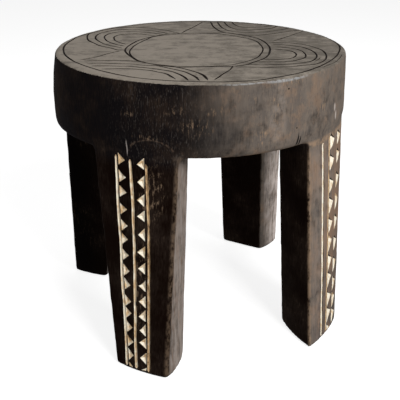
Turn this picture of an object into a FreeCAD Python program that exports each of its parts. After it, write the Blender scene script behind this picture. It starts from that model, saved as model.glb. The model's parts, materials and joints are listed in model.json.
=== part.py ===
"""Round four-legged stool carved from one log, with an incised top and chip-carved bands.

The carving of the bands is whitened with chalk paste.

Millimetres, +Z up. The origin is on the floor, under the middle of the stool.
Azimuths are in degrees about the seat's upright axis, from +X towards +Y. Left and right on a leg
are as seen by someone who looks at its outer face, and a place across it runs from 0 to 1.
"""

import FreeCAD, Part

import math
import os
from dataclasses import dataclass

from FreeCAD import Vector

# Whole stool
STOOL_HEIGHT = 400.0
SEAT_RADIUS = 200.0
SEAT_THICKNESS = 96.0
SEAT_AXIS_X = 4.0
SEAT_AXIS_Y = 12.0
CUT_OVERRUN = 2.0
QUARTER_TURN = 90.0

# Seat, from the underside up: the log was a little wider than deep, and bellied out towards -X
SEAT_HEIGHT_SHARES = (0.0, 0.022, 0.06, 0.18, 0.45, 0.75, 1.0)
SEAT_WIDTH_SHARES = (0.987, 1.015, 1.034, 1.042, 1.039, 1.029, 1.016)
SEAT_DEPTH_SHARES = (0.965, 0.981, 0.990, 1.003, 1.006, 1.004, 1.002)
SEAT_DRIFT_SHARES = (-0.053, -0.037, -0.020, -0.014, -0.016, -0.012, -0.005)
SEAT_WAIST_INDEX = 3
SEAT_RIM_ROUNDING = 4.0
RIM_ROUNDING_SHARES = (0.33, 0.67, 1.0)

# Legs
LEG_TOP_WIDTH = 114.0
LEG_FOOT_WIDTH = 84.0
LEG_TOP_INNER_WIDTH = 81.0
LEG_FOOT_INNER_WIDTH = 71.0
LEG_TOP_DEPTH = 64.0
LEG_FOOT_DEPTH = 66.0
LEG_SPLAY = 25.0
LEG_TOP_INSET = 0.6
LEG_ROOT_LENGTH = 40.0
LEG_CORNER_EASING = 4.0
CORNER_BULGE_SHARE = 0.29
FOOT_EDGE_HEIGHT = 4.0
FOOT_EDGE_INSET = 3.0

# Pattern incised in the seat's top
STROKE_WIDTH = 2.8
STROKE_FLOOR_WIDTH = 0.8
STROKE_DEPTH = 1.6
STROKE_DEFLECTION = 0.7
STROKES_IN_NEST = 4

# Chip-carved bands
BAND_TOP_RISE = 4.0
BAND_FOOT_Z = 6.0
LINE_WIDTH = 4.4
LINE_FLOOR_WIDTH = 2.0
LINE_DEPTH = 2.8
LINE_CHALK_THICKNESS = 1.2
NOTCH_PITCH = 21.0
NOTCH_LENGTH = 11.0
NOTCH_LEAST_BASE = 5.0
NOTCH_BASE_DEPTH = 4.0
NOTCH_TIP_DEPTH = 1.4
NOTCH_CHALK_THICKNESS = 1.0
NOTCH_TO_GUIDE_GAP = 1.2
FACE_STEP_SHARE = 0.01


@dataclass(frozen=True)
class Section:
    """A leg's section. The shares are of the leg's sizes, which differ between its top and its foot."""

    azimuth: float
    width_share: float
    inner_azimuth: float
    inner_width_share: float
    depth_share: float
    splay_share: float = 0.0
    skew_share: float = 0.0


@dataclass(frozen=True)
class Guide:
    """An upright guide on a leg's face, by its places across the top and the foot, cut as a line or not."""

    name: str
    top_share: float
    foot_share: float
    is_cut: bool = True


@dataclass(frozen=True)
class NotchRow:
    """A row of triangular notches on a guide. A side of 1 points them to the right, and -1 to the left."""

    guide: str
    side: int
    pitch_share: float
    base_share: float
    top_length_share: float
    foot_length_share: float


@dataclass(frozen=True)
class Leg:
    """One leg: its sections at the seat's underside and at the floor, and its carved band."""

    name: str
    top: Section
    foot: Section
    guides: tuple
    rows: tuple


@dataclass(frozen=True)
class Oval:
    """A ring of the top's pattern: its centre from the seat's axis, and its half sizes, in seat radii."""

    middle_x_share: float
    middle_y_share: float
    half_width_share: float
    half_depth_share: float


@dataclass(frozen=True)
class Nest:
    """A nest of strokes, by its first and last. Their places are from the seat's axis, in seat radii."""

    first_shares: tuple
    last_shares: tuple


TOP_RINGS = (
    Oval(-0.030, -0.055, 0.460, 0.490),
    Oval(-0.025, -0.050, 0.510, 0.540),
    Oval(-0.003, 0.005, 0.972, 0.940),
)
TOP_NESTS = (
    Nest(
        ((-0.56, -0.06), (-0.75, 0.10), (-0.86, 0.31), (-0.78, 0.50), (-0.59, 0.69), (-0.32, 0.63), (-0.17, 0.50)),
        ((-0.54, 0.08), (-0.61, 0.16), (-0.66, 0.34), (-0.63, 0.42), (-0.54, 0.45), (-0.43, 0.43), (-0.37, 0.40)),
    ),
    Nest(
        ((0.49, 0.14), (0.68, 0.12), (0.83, -0.08), (0.83, -0.32), (0.68, -0.53), (0.43, -0.60), (0.22, -0.58)),
        ((0.51, -0.07), (0.58, -0.10), (0.63, -0.18), (0.64, -0.27), (0.58, -0.36), (0.50, -0.39), (0.40, -0.40)),
    ),
    Nest(
        ((-0.76, -0.43), (-0.58, -0.42), (-0.42, -0.46), (-0.24, -0.60), (-0.08, -0.71), (0.04, -0.90)),
        ((-0.62, -0.64), (-0.52, -0.63), (-0.40, -0.63), (-0.28, -0.69), (-0.21, -0.77), (-0.15, -0.89)),
    ),
    Nest(
        ((0.08, 0.90), (0.12, 0.64), (0.19, 0.49), (0.33, 0.43), (0.56, 0.45), (0.72, 0.57)),
        ((0.26, 0.86), (0.28, 0.79), (0.33, 0.72), (0.40, 0.69), (0.47, 0.70), (0.54, 0.73)),
    ),
)
TOP_SPOKES = (
    ((-0.14, 0.52), (-0.08, 0.69), (0.01, 0.90)),
    ((-0.57, -0.13), (-0.65, -0.23), (-0.76, -0.37)),
    ((0.20, -0.60), (0.15, -0.72), (0.07, -0.90)),
    ((0.54, 0.21), (0.64, 0.36), (0.74, 0.50)),
)

FACING_GUIDES = (
    Guide("left_line", 0.307, 0.239),
    Guide("middle_line", 0.501, 0.434),
    Guide("right_line", 0.670, 0.664),
)
FACING_ROWS = (
    NotchRow("left_line", 1, 1.0, 0.86, 1.05, 0.70),
    NotchRow("right_line", -1, 1.075, 0.88, 0.95, 0.95),
)
MARCHING_GUIDES = (
    Guide("left_line", 0.269, 0.341),
    Guide("middle_line", 0.398, 0.490),
    Guide("right_row", 0.640, 0.679, is_cut=False),
)
MARCHING_ROWS = (
    NotchRow("middle_line", 1, 1.43, 0.86, 1.60, 1.35),
    NotchRow("right_row", 1, 1.43, 0.86, 1.60, 1.35),
)

LEGS = (
    Leg(
        "front_left",
        top=Section(-113.7, 1.05, -113.6, 1.01, 1.04),
        foot=Section(-110.6, 0.955, -110.8, 1.09, 0.91, splay_share=1.46, skew_share=0.31),
        guides=FACING_GUIDES,
        rows=FACING_ROWS,
    ),
    Leg(
        "front_right",
        top=Section(-29.5, 1.08, -30.7, 0.77, 0.97),
        foot=Section(-35.5, 1.105, -26.8, 0.89, 1.09, splay_share=1.13, skew_share=-0.14),
        guides=MARCHING_GUIDES,
        rows=MARCHING_ROWS,
    ),
    Leg(
        "back_right",
        top=Section(62.6, 0.95, 61.3, 1.055, 0.95),
        foot=Section(61.55, 1.12, 62.2, 1.085, 0.79, splay_share=0.64),
        guides=FACING_GUIDES,
        rows=FACING_ROWS,
    ),
    Leg(
        "back_left",
        top=Section(156.5, 0.98, 157.5, 0.99, 1.05),
        foot=Section(155.5, 1.03, 157.0, 1.04, 0.92, splay_share=0.97),
        guides=MARCHING_GUIDES,
        rows=MARCHING_ROWS,
    ),
)

UNDERSIDE_Z = STOOL_HEIGHT - SEAT_THICKNESS
BAND_TOP_Z = UNDERSIDE_Z + BAND_TOP_RISE


def around_axis(radius, azimuth, z):
    """The point at a radius and azimuth about the seat's axis."""
    angle = math.radians(azimuth)
    x = SEAT_AXIS_X + radius * math.cos(angle)
    y = SEAT_AXIS_Y + radius * math.sin(angle)
    return Vector(x, y, z)


def mix(low, high, share):
    """The value, or the point, a share of the way from low to high."""
    return low + (high - low) * share


def seat_side_point(ring, angle):
    """The point of the seat's side on one of its rings, seen from above, at an angle round the ring."""
    x = SEAT_AXIS_X + (SEAT_DRIFT_SHARES[ring] + SEAT_WIDTH_SHARES[ring] * math.cos(angle)) * SEAT_RADIUS
    y = SEAT_AXIS_Y + SEAT_DEPTH_SHARES[ring] * math.sin(angle) * SEAT_RADIUS
    return Vector(x, y, 0)


def seat_ring(ring, z, inset=0.0):
    """The oval outline of one of the seat's rings, drawn at a height and a little inside its size."""
    centre = Vector(SEAT_AXIS_X + SEAT_DRIFT_SHARES[ring] * SEAT_RADIUS, SEAT_AXIS_Y, z)
    long_half = SEAT_WIDTH_SHARES[ring] * SEAT_RADIUS - inset
    short_half = SEAT_DEPTH_SHARES[ring] * SEAT_RADIUS - inset
    return Part.Wire(Part.Ellipse(centre, long_half, short_half).toShape())


def seat_disc():
    """The seat: a thick disc lofted through its oval rings, and then round its softened rim."""
    side_height = SEAT_THICKNESS - SEAT_RIM_ROUNDING
    rings = []
    for ring, height_share in enumerate(SEAT_HEIGHT_SHARES):
        rings.append(seat_ring(ring, UNDERSIDE_Z + side_height * height_share))
    top_ring = len(SEAT_HEIGHT_SHARES) - 1
    for turn_share in RIM_ROUNDING_SHARES:
        turn = math.radians(QUARTER_TURN * turn_share)
        inset = SEAT_RIM_ROUNDING * (1 - math.cos(turn))
        rise = SEAT_RIM_ROUNDING * math.sin(turn)
        rings.append(seat_ring(top_ring, UNDERSIDE_Z + side_height + rise, inset))
    return Part.makeLoft(rings, True, True)


def half_angle(width, radius):
    """Half the angle, in degrees, that a width along the arc takes up at a radius."""
    return math.degrees(width / radius / 2)


def top_outer_point(leg, across):
    """The point of a leg's outer face at the seat's underside, just inside the seat's side."""
    half = half_angle(LEG_TOP_WIDTH * leg.top.width_share, SEAT_RADIUS)
    angle = math.radians(leg.top.azimuth + half * (across * 2 - 1))
    side = seat_side_point(SEAT_WAIST_INDEX, angle)
    centre = around_axis(0, 0, 0)
    inset = (side - centre).normalize() * LEG_TOP_INSET
    return side - inset + Vector(0, 0, UNDERSIDE_Z)


def foot_outer_point(leg, across):
    """The point of a leg's outer face on the floor."""
    radius = SEAT_RADIUS + LEG_SPLAY * (leg.foot.splay_share + leg.foot.skew_share * (across - 0.5))
    half = half_angle(LEG_FOOT_WIDTH * leg.foot.width_share, radius)
    return around_axis(radius, leg.foot.azimuth + half * (across * 2 - 1), 0)


def inner_point(section, width, depth, outer_middle, across):
    """The point of a leg's inner face in the plane of the outer face's middle point."""
    centre = around_axis(0, 0, outer_middle.z)
    radius = (outer_middle - centre).Length - depth * section.depth_share
    half = half_angle(width * section.inner_width_share, radius)
    return around_axis(radius, section.inner_azimuth + half * (across * 2 - 1), outer_middle.z)


def face_point(leg, across, z):
    """The point of a leg's outer face at a place across it and a height."""
    return mix(foot_outer_point(leg, across), top_outer_point(leg, across), z / UNDERSIDE_Z)


def back_point(leg, across, z):
    """The point of a leg's inner face at a place across it and a height."""
    top = inner_point(leg.top, LEG_TOP_INNER_WIDTH, LEG_TOP_DEPTH, top_outer_point(leg, 0.5), across)
    foot = inner_point(leg.foot, LEG_FOOT_INNER_WIDTH, LEG_FOOT_DEPTH, foot_outer_point(leg, 0.5), across)
    return mix(foot, top, z / UNDERSIDE_Z)


def eased_corner(before, corner, after):
    """The two flats that ease a corner, from a point before it to a point after it."""
    middle = corner + (before + after - corner * 2) * CORNER_BULGE_SHARE
    return [Part.makeLine(before, middle), Part.makeLine(middle, after)]


def leg_section(leg, z, inset):
    """A leg's closed section: an arc outside, straight sides and inside, and eased corners."""
    centre = mix(face_point(leg, 0.5, z), back_point(leg, 0.5, z), 0.5)

    def pulled_in(point):
        return point + (centre - point).normalize() * inset

    def towards(start, end):
        return start + (end - start).normalize() * LEG_CORNER_EASING

    face_width = (face_point(leg, 1, z) - face_point(leg, 0, z)).Length
    corner_share = LEG_CORNER_EASING / face_width
    outer_left, outer_right = (pulled_in(face_point(leg, across, z)) for across in (0, 1))
    inner_left, inner_right = (pulled_in(back_point(leg, across, z)) for across in (0, 1))
    arc_left, arc_middle, arc_right = (
        pulled_in(face_point(leg, across, z)) for across in (corner_share, 0.5, 1 - corner_share)
    )
    right_out, right_in = towards(outer_right, inner_right), towards(inner_right, outer_right)
    back_right, back_left = towards(inner_right, inner_left), towards(inner_left, inner_right)
    left_in, left_out = towards(inner_left, outer_left), towards(outer_left, inner_left)
    edges = [Part.Arc(arc_left, arc_middle, arc_right).toShape()]
    edges += eased_corner(arc_right, outer_right, right_out)
    edges.append(Part.makeLine(right_out, right_in))
    edges += eased_corner(right_in, inner_right, back_right)
    edges.append(Part.makeLine(back_right, back_left))
    edges += eased_corner(back_left, inner_left, left_in)
    edges.append(Part.makeLine(left_in, left_out))
    edges += eased_corner(left_out, outer_left, arc_left)
    return Part.Wire(edges)


def leg_block(leg):
    """A leg from the floor to its root inside the seat, with its foot's edge eased."""
    sections = [
        leg_section(leg, 0, FOOT_EDGE_INSET),
        leg_section(leg, FOOT_EDGE_HEIGHT, 0),
        leg_section(leg, UNDERSIDE_Z + LEG_ROOT_LENGTH, 0),
    ]
    return Part.makeLoft(sections, True, True)


def guide_place(guide, z):
    """How far across its leg a guide lies at a height."""
    return mix(guide.foot_share, guide.top_share, z / UNDERSIDE_Z)


def face_frame(leg, across, z):
    """A point of a leg's outer face, with its directions to the right and outwards."""
    here = face_point(leg, across, z)
    sideways = (face_point(leg, across + FACE_STEP_SHARE, z) - here).normalize()
    upwards = face_point(leg, across, z + UNDERSIDE_Z * FACE_STEP_SHARE) - here
    return here, sideways, sideways.cross(upwards).normalize()


def hull_between(first, second):
    """The solid with flat ends that runs straight from one polygon to another."""
    wires = [Part.makePolygon(list(points) + [points[0]]) for points in (first, second)]
    return Part.makeLoft(wires, True, True)


def line_half_width(depth):
    """Half the width of a line's tapering groove at a depth."""
    return mix(LINE_WIDTH, LINE_FLOOR_WIDTH, depth / LINE_DEPTH) / 2


def line_layer(leg, guide, top_depth):
    """The part of a line's groove that lies between a depth and its floor."""
    ends = []
    for z in (BAND_FOOT_Z, BAND_TOP_Z):
        middle, sideways, outwards = face_frame(leg, guide_place(guide, z), z)
        high = middle - outwards * top_depth
        low = middle - outwards * LINE_DEPTH
        to_high = sideways * line_half_width(top_depth)
        to_low = sideways * line_half_width(LINE_DEPTH)
        ends.append((high - to_high, high + to_high, low + to_low, low - to_low))
    return hull_between(*ends)


def line_groove(leg, guide):
    """The cutter of a line's groove."""
    return line_layer(leg, guide, -CUT_OVERRUN)


def line_chalk(leg, guide):
    """The chalk paste on the floor of a line's groove."""
    return line_layer(leg, guide, LINE_DEPTH - LINE_CHALK_THICKNESS)


def notch_heights(row):
    """The top and middle heights of each notch of a row, down to the last, which the foot may cut short."""
    pitch = NOTCH_PITCH * row.pitch_share
    half_base = pitch * row.base_share / 2
    heights = []
    middle = BAND_TOP_Z - pitch / 2
    while middle + half_base > BAND_FOOT_Z + NOTCH_LEAST_BASE:
        heights.append((middle + half_base, middle))
        middle -= pitch
    return heights


def notch_corners(leg, row, top_z, middle_z):
    """The low and high base corners and the tip of a notch on the leg's face, and the way outwards."""
    guide = next(guide for guide in leg.guides if guide.name == row.guide)
    low_z = max(middle_z * 2 - top_z, BAND_FOOT_Z)
    tip_z = max(middle_z, BAND_FOOT_Z)
    length_share = mix(row.foot_length_share, row.top_length_share, tip_z / UNDERSIDE_Z)
    length = NOTCH_LENGTH * length_share * (top_z - tip_z) / (top_z - middle_z)
    base_offset = row.side * (LINE_WIDTH / 2 + NOTCH_TO_GUIDE_GAP)

    def beside_guide(offset, z):
        width = (face_point(leg, 1, z) - face_point(leg, 0, z)).Length
        return face_point(leg, guide_place(guide, z) + offset / width, z)

    low = beside_guide(base_offset, low_z)
    high = beside_guide(base_offset, top_z)
    tip = beside_guide(base_offset + row.side * length, tip_z)
    outwards = face_frame(leg, guide_place(guide, tip_z), tip_z)[2]
    return (low, high, tip), outwards


def notch_level(corners, outwards, base_depth, tip_depth):
    """The triangle under a notch's corners, at one depth along its base and another at its tip."""
    low, high, tip = corners
    return (low - outwards * base_depth, high - outwards * base_depth, tip - outwards * tip_depth)


def notch_recess(corners, outwards):
    """The cutter of a notch: upright walls down to a floor that rises to the tip."""
    floor = notch_level(corners, outwards, NOTCH_BASE_DEPTH, NOTCH_TIP_DEPTH)
    mouth = notch_level(corners, outwards, -CUT_OVERRUN, -CUT_OVERRUN)
    return hull_between(floor, mouth)


def notch_chalk(corners, outwards):
    """The layer of chalk paste on a notch's floor."""
    floor = notch_level(corners, outwards, NOTCH_BASE_DEPTH, NOTCH_TIP_DEPTH)
    top = [point + outwards * NOTCH_CHALK_THICKNESS for point in floor]
    return hull_between(floor, top)


def row_of_notches(leg, row, make_notch):
    """One solid for each notch of a row."""
    return [make_notch(*notch_corners(leg, row, *heights)) for heights in notch_heights(row)]


def cut_lines(leg):
    """The guides of a leg that are cut as lines."""
    return [guide for guide in leg.guides if guide.is_cut]


def stroke_half_width(depth):
    """Half the width of a stroke's tapering groove at a depth."""
    return mix(STROKE_WIDTH, STROKE_FLOOR_WIDTH, depth / STROKE_DEPTH) / 2


def ring_wall(oval, side):
    """The solid inside a ring's outer wall, for a side of 1, or inside its inner wall, for a side of -1."""
    middle = Vector(oval.middle_x_share, oval.middle_y_share, 0) * SEAT_RADIUS
    levels = []
    for depth in (STROKE_DEPTH, -CUT_OVERRUN):
        centre = around_axis(0, 0, STOOL_HEIGHT - depth) + middle
        offset = stroke_half_width(depth) * side
        halves = (oval.half_width_share * SEAT_RADIUS + offset, oval.half_depth_share * SEAT_RADIUS + offset)
        outline = Part.Ellipse(centre, max(halves), min(halves)).toShape()
        if halves[0] < halves[1]:
            outline.rotate(centre, Vector(0, 0, 1), QUARTER_TURN)
        levels.append(Part.Wire(outline))
    return Part.makeLoft(levels, True, True)


def ring_cutter(oval):
    """The cutter of a ring of the top's pattern."""
    return ring_wall(oval, 1).cut(ring_wall(oval, -1))


def stroke_section(before, point, after):
    """The section of a stroke's groove at a point of its path, square to the way between its neighbours."""
    along = after - before
    sideways = Vector(along.y, -along.x, 0).normalize()
    corners = []
    for depth, side in ((-CUT_OVERRUN, -1), (-CUT_OVERRUN, 1), (STROKE_DEPTH, 1), (STROKE_DEPTH, -1)):
        corners.append(point + sideways * stroke_half_width(depth) * side - Vector(0, 0, depth))
    return Part.makePolygon(corners + [corners[0]])


def stroke_cutter(path_shares):
    """The cutter of a stroke that bends smoothly through places on the seat's top."""
    surface = around_axis(0, 0, STOOL_HEIGHT)
    path = Part.BSplineCurve()
    path.interpolate([surface + Vector(x_share, y_share, 0) * SEAT_RADIUS for x_share, y_share in path_shares])
    points = path.discretize(QuasiDeflection=STROKE_DEFLECTION)
    neighbours = zip([points[0]] + points[:-1], points, points[1:] + [points[-1]])
    return Part.makeLoft([stroke_section(*three) for three in neighbours], True, True)


def nest_paths(nest):
    """The paths of a nest's strokes, evenly spaced from its first to its last."""
    paths = []
    for stroke in range(STROKES_IN_NEST):
        share = stroke / (STROKES_IN_NEST - 1)
        pairs = zip(nest.first_shares, nest.last_shares)
        paths.append([(mix(first[0], last[0], share), mix(first[1], last[1], share)) for first, last in pairs])
    return paths


def top_cutters():
    """The cutters of the pattern incised in the seat's top."""
    cutters = [ring_cutter(oval) for oval in TOP_RINGS]
    for nest in TOP_NESTS:
        cutters += [stroke_cutter(path) for path in nest_paths(nest)]
    return cutters + [stroke_cutter(path) for path in TOP_SPOKES]


def carved_body():
    """The wood: seat and legs as the one log that they are, with every stroke, line and notch cut out."""
    seat = seat_disc().cut(top_cutters())
    body = seat.fuse([leg_block(leg) for leg in LEGS]).removeSplitter()
    cutters = []
    for leg in LEGS:
        cutters += [line_groove(leg, guide) for guide in cut_lines(leg)]
        for row in leg.rows:
            cutters += row_of_notches(leg, row, notch_recess)
    return body.cut(cutters)


def chalk_pieces():
    """The chalk paste by node: each line on its own, and each row of notches as a group of solids."""
    pieces = {}
    for leg in LEGS:
        for guide in cut_lines(leg):
            pieces[f"{leg.name}_leg_{guide.name}_chalk"] = line_chalk(leg, guide)
        for side, row in zip(("left", "right"), leg.rows):
            fills = row_of_notches(leg, row, notch_chalk)
            pieces[f"{leg.name}_leg_{side}_notch_chalk"] = Part.makeCompound(fills)
    return pieces


def main():
    """Builds every piece and writes one STEP file for each node."""
    os.makedirs("parts", exist_ok=True)
    pieces = {"carved_body": carved_body()}
    pieces.update(chalk_pieces())
    for name, shape in pieces.items():
        shape.exportStep(f"parts/{name}.step")
        print(name, len(shape.Solids), "solids", round(shape.Volume), "mm3", shape.isValid())


main()
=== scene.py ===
"""Round stool carved from one log, dressed for the studio.

Metres, +Z up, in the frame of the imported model. Azimuths are in degrees about the seat's upright
axis, from +X towards +Y. A place across a leg's outer face runs from 0 at its left edge to 1 at its
right edge, as seen by someone who looks at it. HEWN_SKIN is how far the hewn surface lies inside the
plain one on average, so what cuts it sinks by that much. Points nearer than TOUCHING are one point.
"""

import json
import logging
import math
import random
from contextlib import contextmanager
from dataclasses import dataclass, field
from enum import Enum
from functools import reduce
from typing import Callable, Iterator, Sequence, TypeVar

import bmesh
import bpy
from mathutils import Matrix, Vector

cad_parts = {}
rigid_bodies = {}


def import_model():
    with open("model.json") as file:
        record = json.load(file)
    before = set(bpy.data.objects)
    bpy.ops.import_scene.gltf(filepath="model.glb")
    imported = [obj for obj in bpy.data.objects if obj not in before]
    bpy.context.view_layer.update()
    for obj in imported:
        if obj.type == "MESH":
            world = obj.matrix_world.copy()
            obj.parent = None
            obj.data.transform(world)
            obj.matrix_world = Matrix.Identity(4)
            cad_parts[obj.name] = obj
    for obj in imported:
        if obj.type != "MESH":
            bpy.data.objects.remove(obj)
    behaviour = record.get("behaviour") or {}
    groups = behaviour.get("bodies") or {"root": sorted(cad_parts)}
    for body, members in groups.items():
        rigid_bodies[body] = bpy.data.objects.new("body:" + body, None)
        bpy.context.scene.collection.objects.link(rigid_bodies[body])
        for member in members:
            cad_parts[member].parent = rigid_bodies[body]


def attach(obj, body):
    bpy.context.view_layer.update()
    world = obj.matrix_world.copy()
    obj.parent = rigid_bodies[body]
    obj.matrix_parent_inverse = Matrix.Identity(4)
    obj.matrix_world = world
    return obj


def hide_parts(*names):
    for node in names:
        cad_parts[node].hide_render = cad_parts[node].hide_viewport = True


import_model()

LOG = logging.getLogger("stool")
ROOT_BODY = "root"
MILLIMETRE = 0.001
AXIS = Vector((0.004, 0.012, 0.0))
SEAT_RADIUS = 0.200
STOOL_HEIGHT = 0.400
UNDERSIDE_Z = 0.304
HEWN_SKIN = 0.0005

TOUCHING = 1e-5
WIDEST_RING = 3
WOOD_CREASE = math.radians(38)
CHALK_CREASE = math.radians(30)

Point2 = tuple[float, float]
Colour = tuple[float, float, float]
Piece = bpy.types.Object
Material = bpy.types.Material
Socket = bpy.types.NodeSocket
Blendable = TypeVar("Blendable", float, Vector)


class Facing(Enum):
    """The way that a row of notches points across its leg."""

    RIGHT = 1
    LEFT = -1


class Cut(Enum):
    """What a boolean step does with its cutter."""

    AWAY = "DIFFERENCE"
    KEEP = "INTERSECT"
    WITH = "UNION"


class ChalkState(Enum):
    """How far the chalk in a cut is worn: what its noise is raised by."""

    FRESH = 0.0
    RUBBED = 0.05
    THIN = 0.13


def mix(low: Blendable, high: Blendable, share: float) -> Blendable:
    """The value, or the point, a share of the way from low to high."""
    return low + (high - low) * share


def around_axis(radius: float, azimuth: float, z: float) -> Vector:
    """The point at a radius and azimuth about the seat's axis."""
    angle = math.radians(azimuth)
    return AXIS + Vector((radius * math.cos(angle), radius * math.sin(angle), z))


class Bench:
    """The modelling operations that the pieces share."""

    @staticmethod
    def select(*pieces: Piece) -> None:
        """Selects only the pieces given, and makes the first of them active.

        Args:
            pieces: The pieces to select.
        """
        if bpy.context.object and bpy.context.object.mode != "OBJECT":
            bpy.ops.object.mode_set(mode="OBJECT")
        bpy.ops.object.select_all(action="DESELECT")
        for piece in pieces:
            piece.select_set(True)
        if pieces:
            bpy.context.view_layer.objects.active = pieces[0]

    @staticmethod
    @contextmanager
    def editing(piece: Piece) -> Iterator[None]:
        """Opens a piece in edit mode with nothing selected, and closes it afterwards.

        Args:
            piece: The piece to edit.
        """
        Bench.select(piece)
        bpy.ops.object.mode_set(mode="EDIT")
        bpy.ops.mesh.select_all(action="DESELECT")
        yield
        bpy.ops.object.mode_set(mode="OBJECT")

    @staticmethod
    def pick_points(piece: Piece, wanted: Callable[[Vector], bool]) -> None:
        """Selects the points of the edited piece that are wanted, and nothing else.

        Args:
            piece: The piece in edit mode.
            wanted: Says of a place whether its point is wanted.
        """
        bpy.ops.mesh.select_mode(type="VERT")
        shape = bmesh.from_edit_mesh(piece.data)
        for point in shape.verts:
            point.select = wanted(point.co)
        shape.select_flush(True)
        shape.select_flush(False)
        bmesh.update_edit_mesh(piece.data)

    @staticmethod
    def pick_edges(piece: Piece, wanted: Callable[[Vector, Vector], bool]) -> None:
        """Selects the edges of the edited piece that are wanted, and nothing else.

        Args:
            piece: The piece in edit mode.
            wanted: Says of an edge's two ends whether it is wanted.
        """
        bpy.ops.mesh.select_mode(type="EDGE")
        shape = bmesh.from_edit_mesh(piece.data)
        for edge in shape.edges:
            edge.select = False
        chosen = [edge for edge in shape.edges if wanted(edge.verts[0].co, edge.verts[1].co)]
        for edge in chosen:
            edge.select = True
        bmesh.update_edit_mesh(piece.data)

    @staticmethod
    def move_point(piece: Piece, start: Vector, end: Vector) -> None:
        """Moves the point of the edited piece that lies at a place.

        Args:
            piece: The piece in edit mode.
            start: Where the point is.
            end: Where it goes.
        """
        Bench.pick_points(piece, lambda place: (place - start).length < TOUCHING)
        bpy.ops.transform.translate(value=end - start)

    @staticmethod
    def join(name: str, pieces: Sequence[Piece]) -> Piece:
        """Joins pieces into one object.

        Args:
            name: The name of the joined object.
            pieces: The pieces, of which the first one stays.

        Returns:
            The joined object.
        """
        Bench.select(*pieces)
        if len(pieces) > 1:
            bpy.ops.object.join()
        pieces[0].name = name
        pieces[0].data.name = name
        return pieces[0]

    @staticmethod
    def copy(piece: Piece, name: str) -> Piece:
        """Copies a piece with a mesh of its own.

        Args:
            piece: The piece to copy.
            name: The copy's name.

        Returns:
            The copy.
        """
        twin = piece.copy()
        twin.data = piece.data.copy()
        twin.name = name
        bpy.context.scene.collection.objects.link(twin)
        return twin

    @staticmethod
    def placed(piece: Piece, place: Matrix) -> Piece:
        """Puts a piece in place, with the place in its mesh.

        Args:
            piece: The piece, whose object is at the origin.
            place: Where it goes.

        Returns:
            The piece.
        """
        Bench.select(piece)
        piece.matrix_world = place
        bpy.context.view_layer.update()
        bpy.ops.object.transform_apply(location=True, rotation=True, scale=True)
        return piece

    @staticmethod
    def finish_modifier(piece: Piece, kind: str, **settings) -> None:
        """Adds a modifier to a piece and applies it.

        Args:
            piece: The piece to change.
            kind: The modifier's type.
            settings: The modifier's settings.
        """
        Bench.select(piece)
        modifier = piece.modifiers.new(kind.lower(), kind)
        for setting, value in settings.items():
            setattr(modifier, setting, value)
        bpy.ops.object.modifier_apply(modifier=modifier.name)

    @staticmethod
    def cut(piece: Piece, cutter: Piece, way: Cut = Cut.AWAY) -> None:
        """Cuts a piece with a closed cutter, and removes the cutter.

        Args:
            piece: The piece to cut.
            cutter: The closed cutter.
            way: What is done with the cutter.
        """
        Bench.finish_modifier(
            piece, "BOOLEAN", object=cutter, operation=way.value, solver="MANIFOLD", material_mode="TRANSFER"
        )
        Bench.discard(cutter)

    @staticmethod
    def discard(piece: Piece) -> None:
        """Removes a piece that is no longer needed."""
        bpy.data.objects.remove(piece, do_unlink=True)

    @staticmethod
    def tidy(piece: Piece) -> None:
        """Merges a piece's doubled points and turns its faces outwards.

        Args:
            piece: The closed piece.
        """
        with Bench.editing(piece):
            bpy.ops.mesh.select_all(action="SELECT")
            bpy.ops.mesh.remove_doubles(threshold=1e-6)
            bpy.ops.mesh.normals_make_consistent(inside=False)

    @staticmethod
    def paint(piece: Piece, finish: Material) -> None:
        """Gives a piece one finish all over.

        Args:
            piece: The piece.
            finish: Its finish.
        """
        piece.data.materials.clear()
        piece.data.materials.append(finish)
        for face in piece.data.polygons:
            face.material_index = 0

    @staticmethod
    def shade(piece: Piece, crease: float) -> None:
        """Shades a piece smooth, but for the edges that are sharper than the crease angle."""
        Bench.select(piece)
        bpy.ops.object.shade_smooth_by_angle(angle=crease)

    @staticmethod
    def texture_grain(piece: Piece, size: float, depth: float) -> None:
        """Roughens a piece's surface a little inwards, with soft hollows of one size.

        Args:
            piece: The piece to roughen.
            size: The size of the hollows.
            depth: Their depth.
        """
        clouds = bpy.data.textures.new("hollows", "CLOUDS")
        clouds.noise_scale = size
        clouds.noise_depth = 1
        Bench.finish_modifier(
            piece, "DISPLACE", texture=clouds, texture_coords="LOCAL", strength=depth, mid_level=1.0
        )
        bpy.data.textures.remove(clouds)


@dataclass(frozen=True)
class Ring:
    """An oval ring of the seat's side: its height and its half sizes, as shares of the seat's sizes."""

    rise: float
    half_width: float
    half_depth: float
    drift: float


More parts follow.
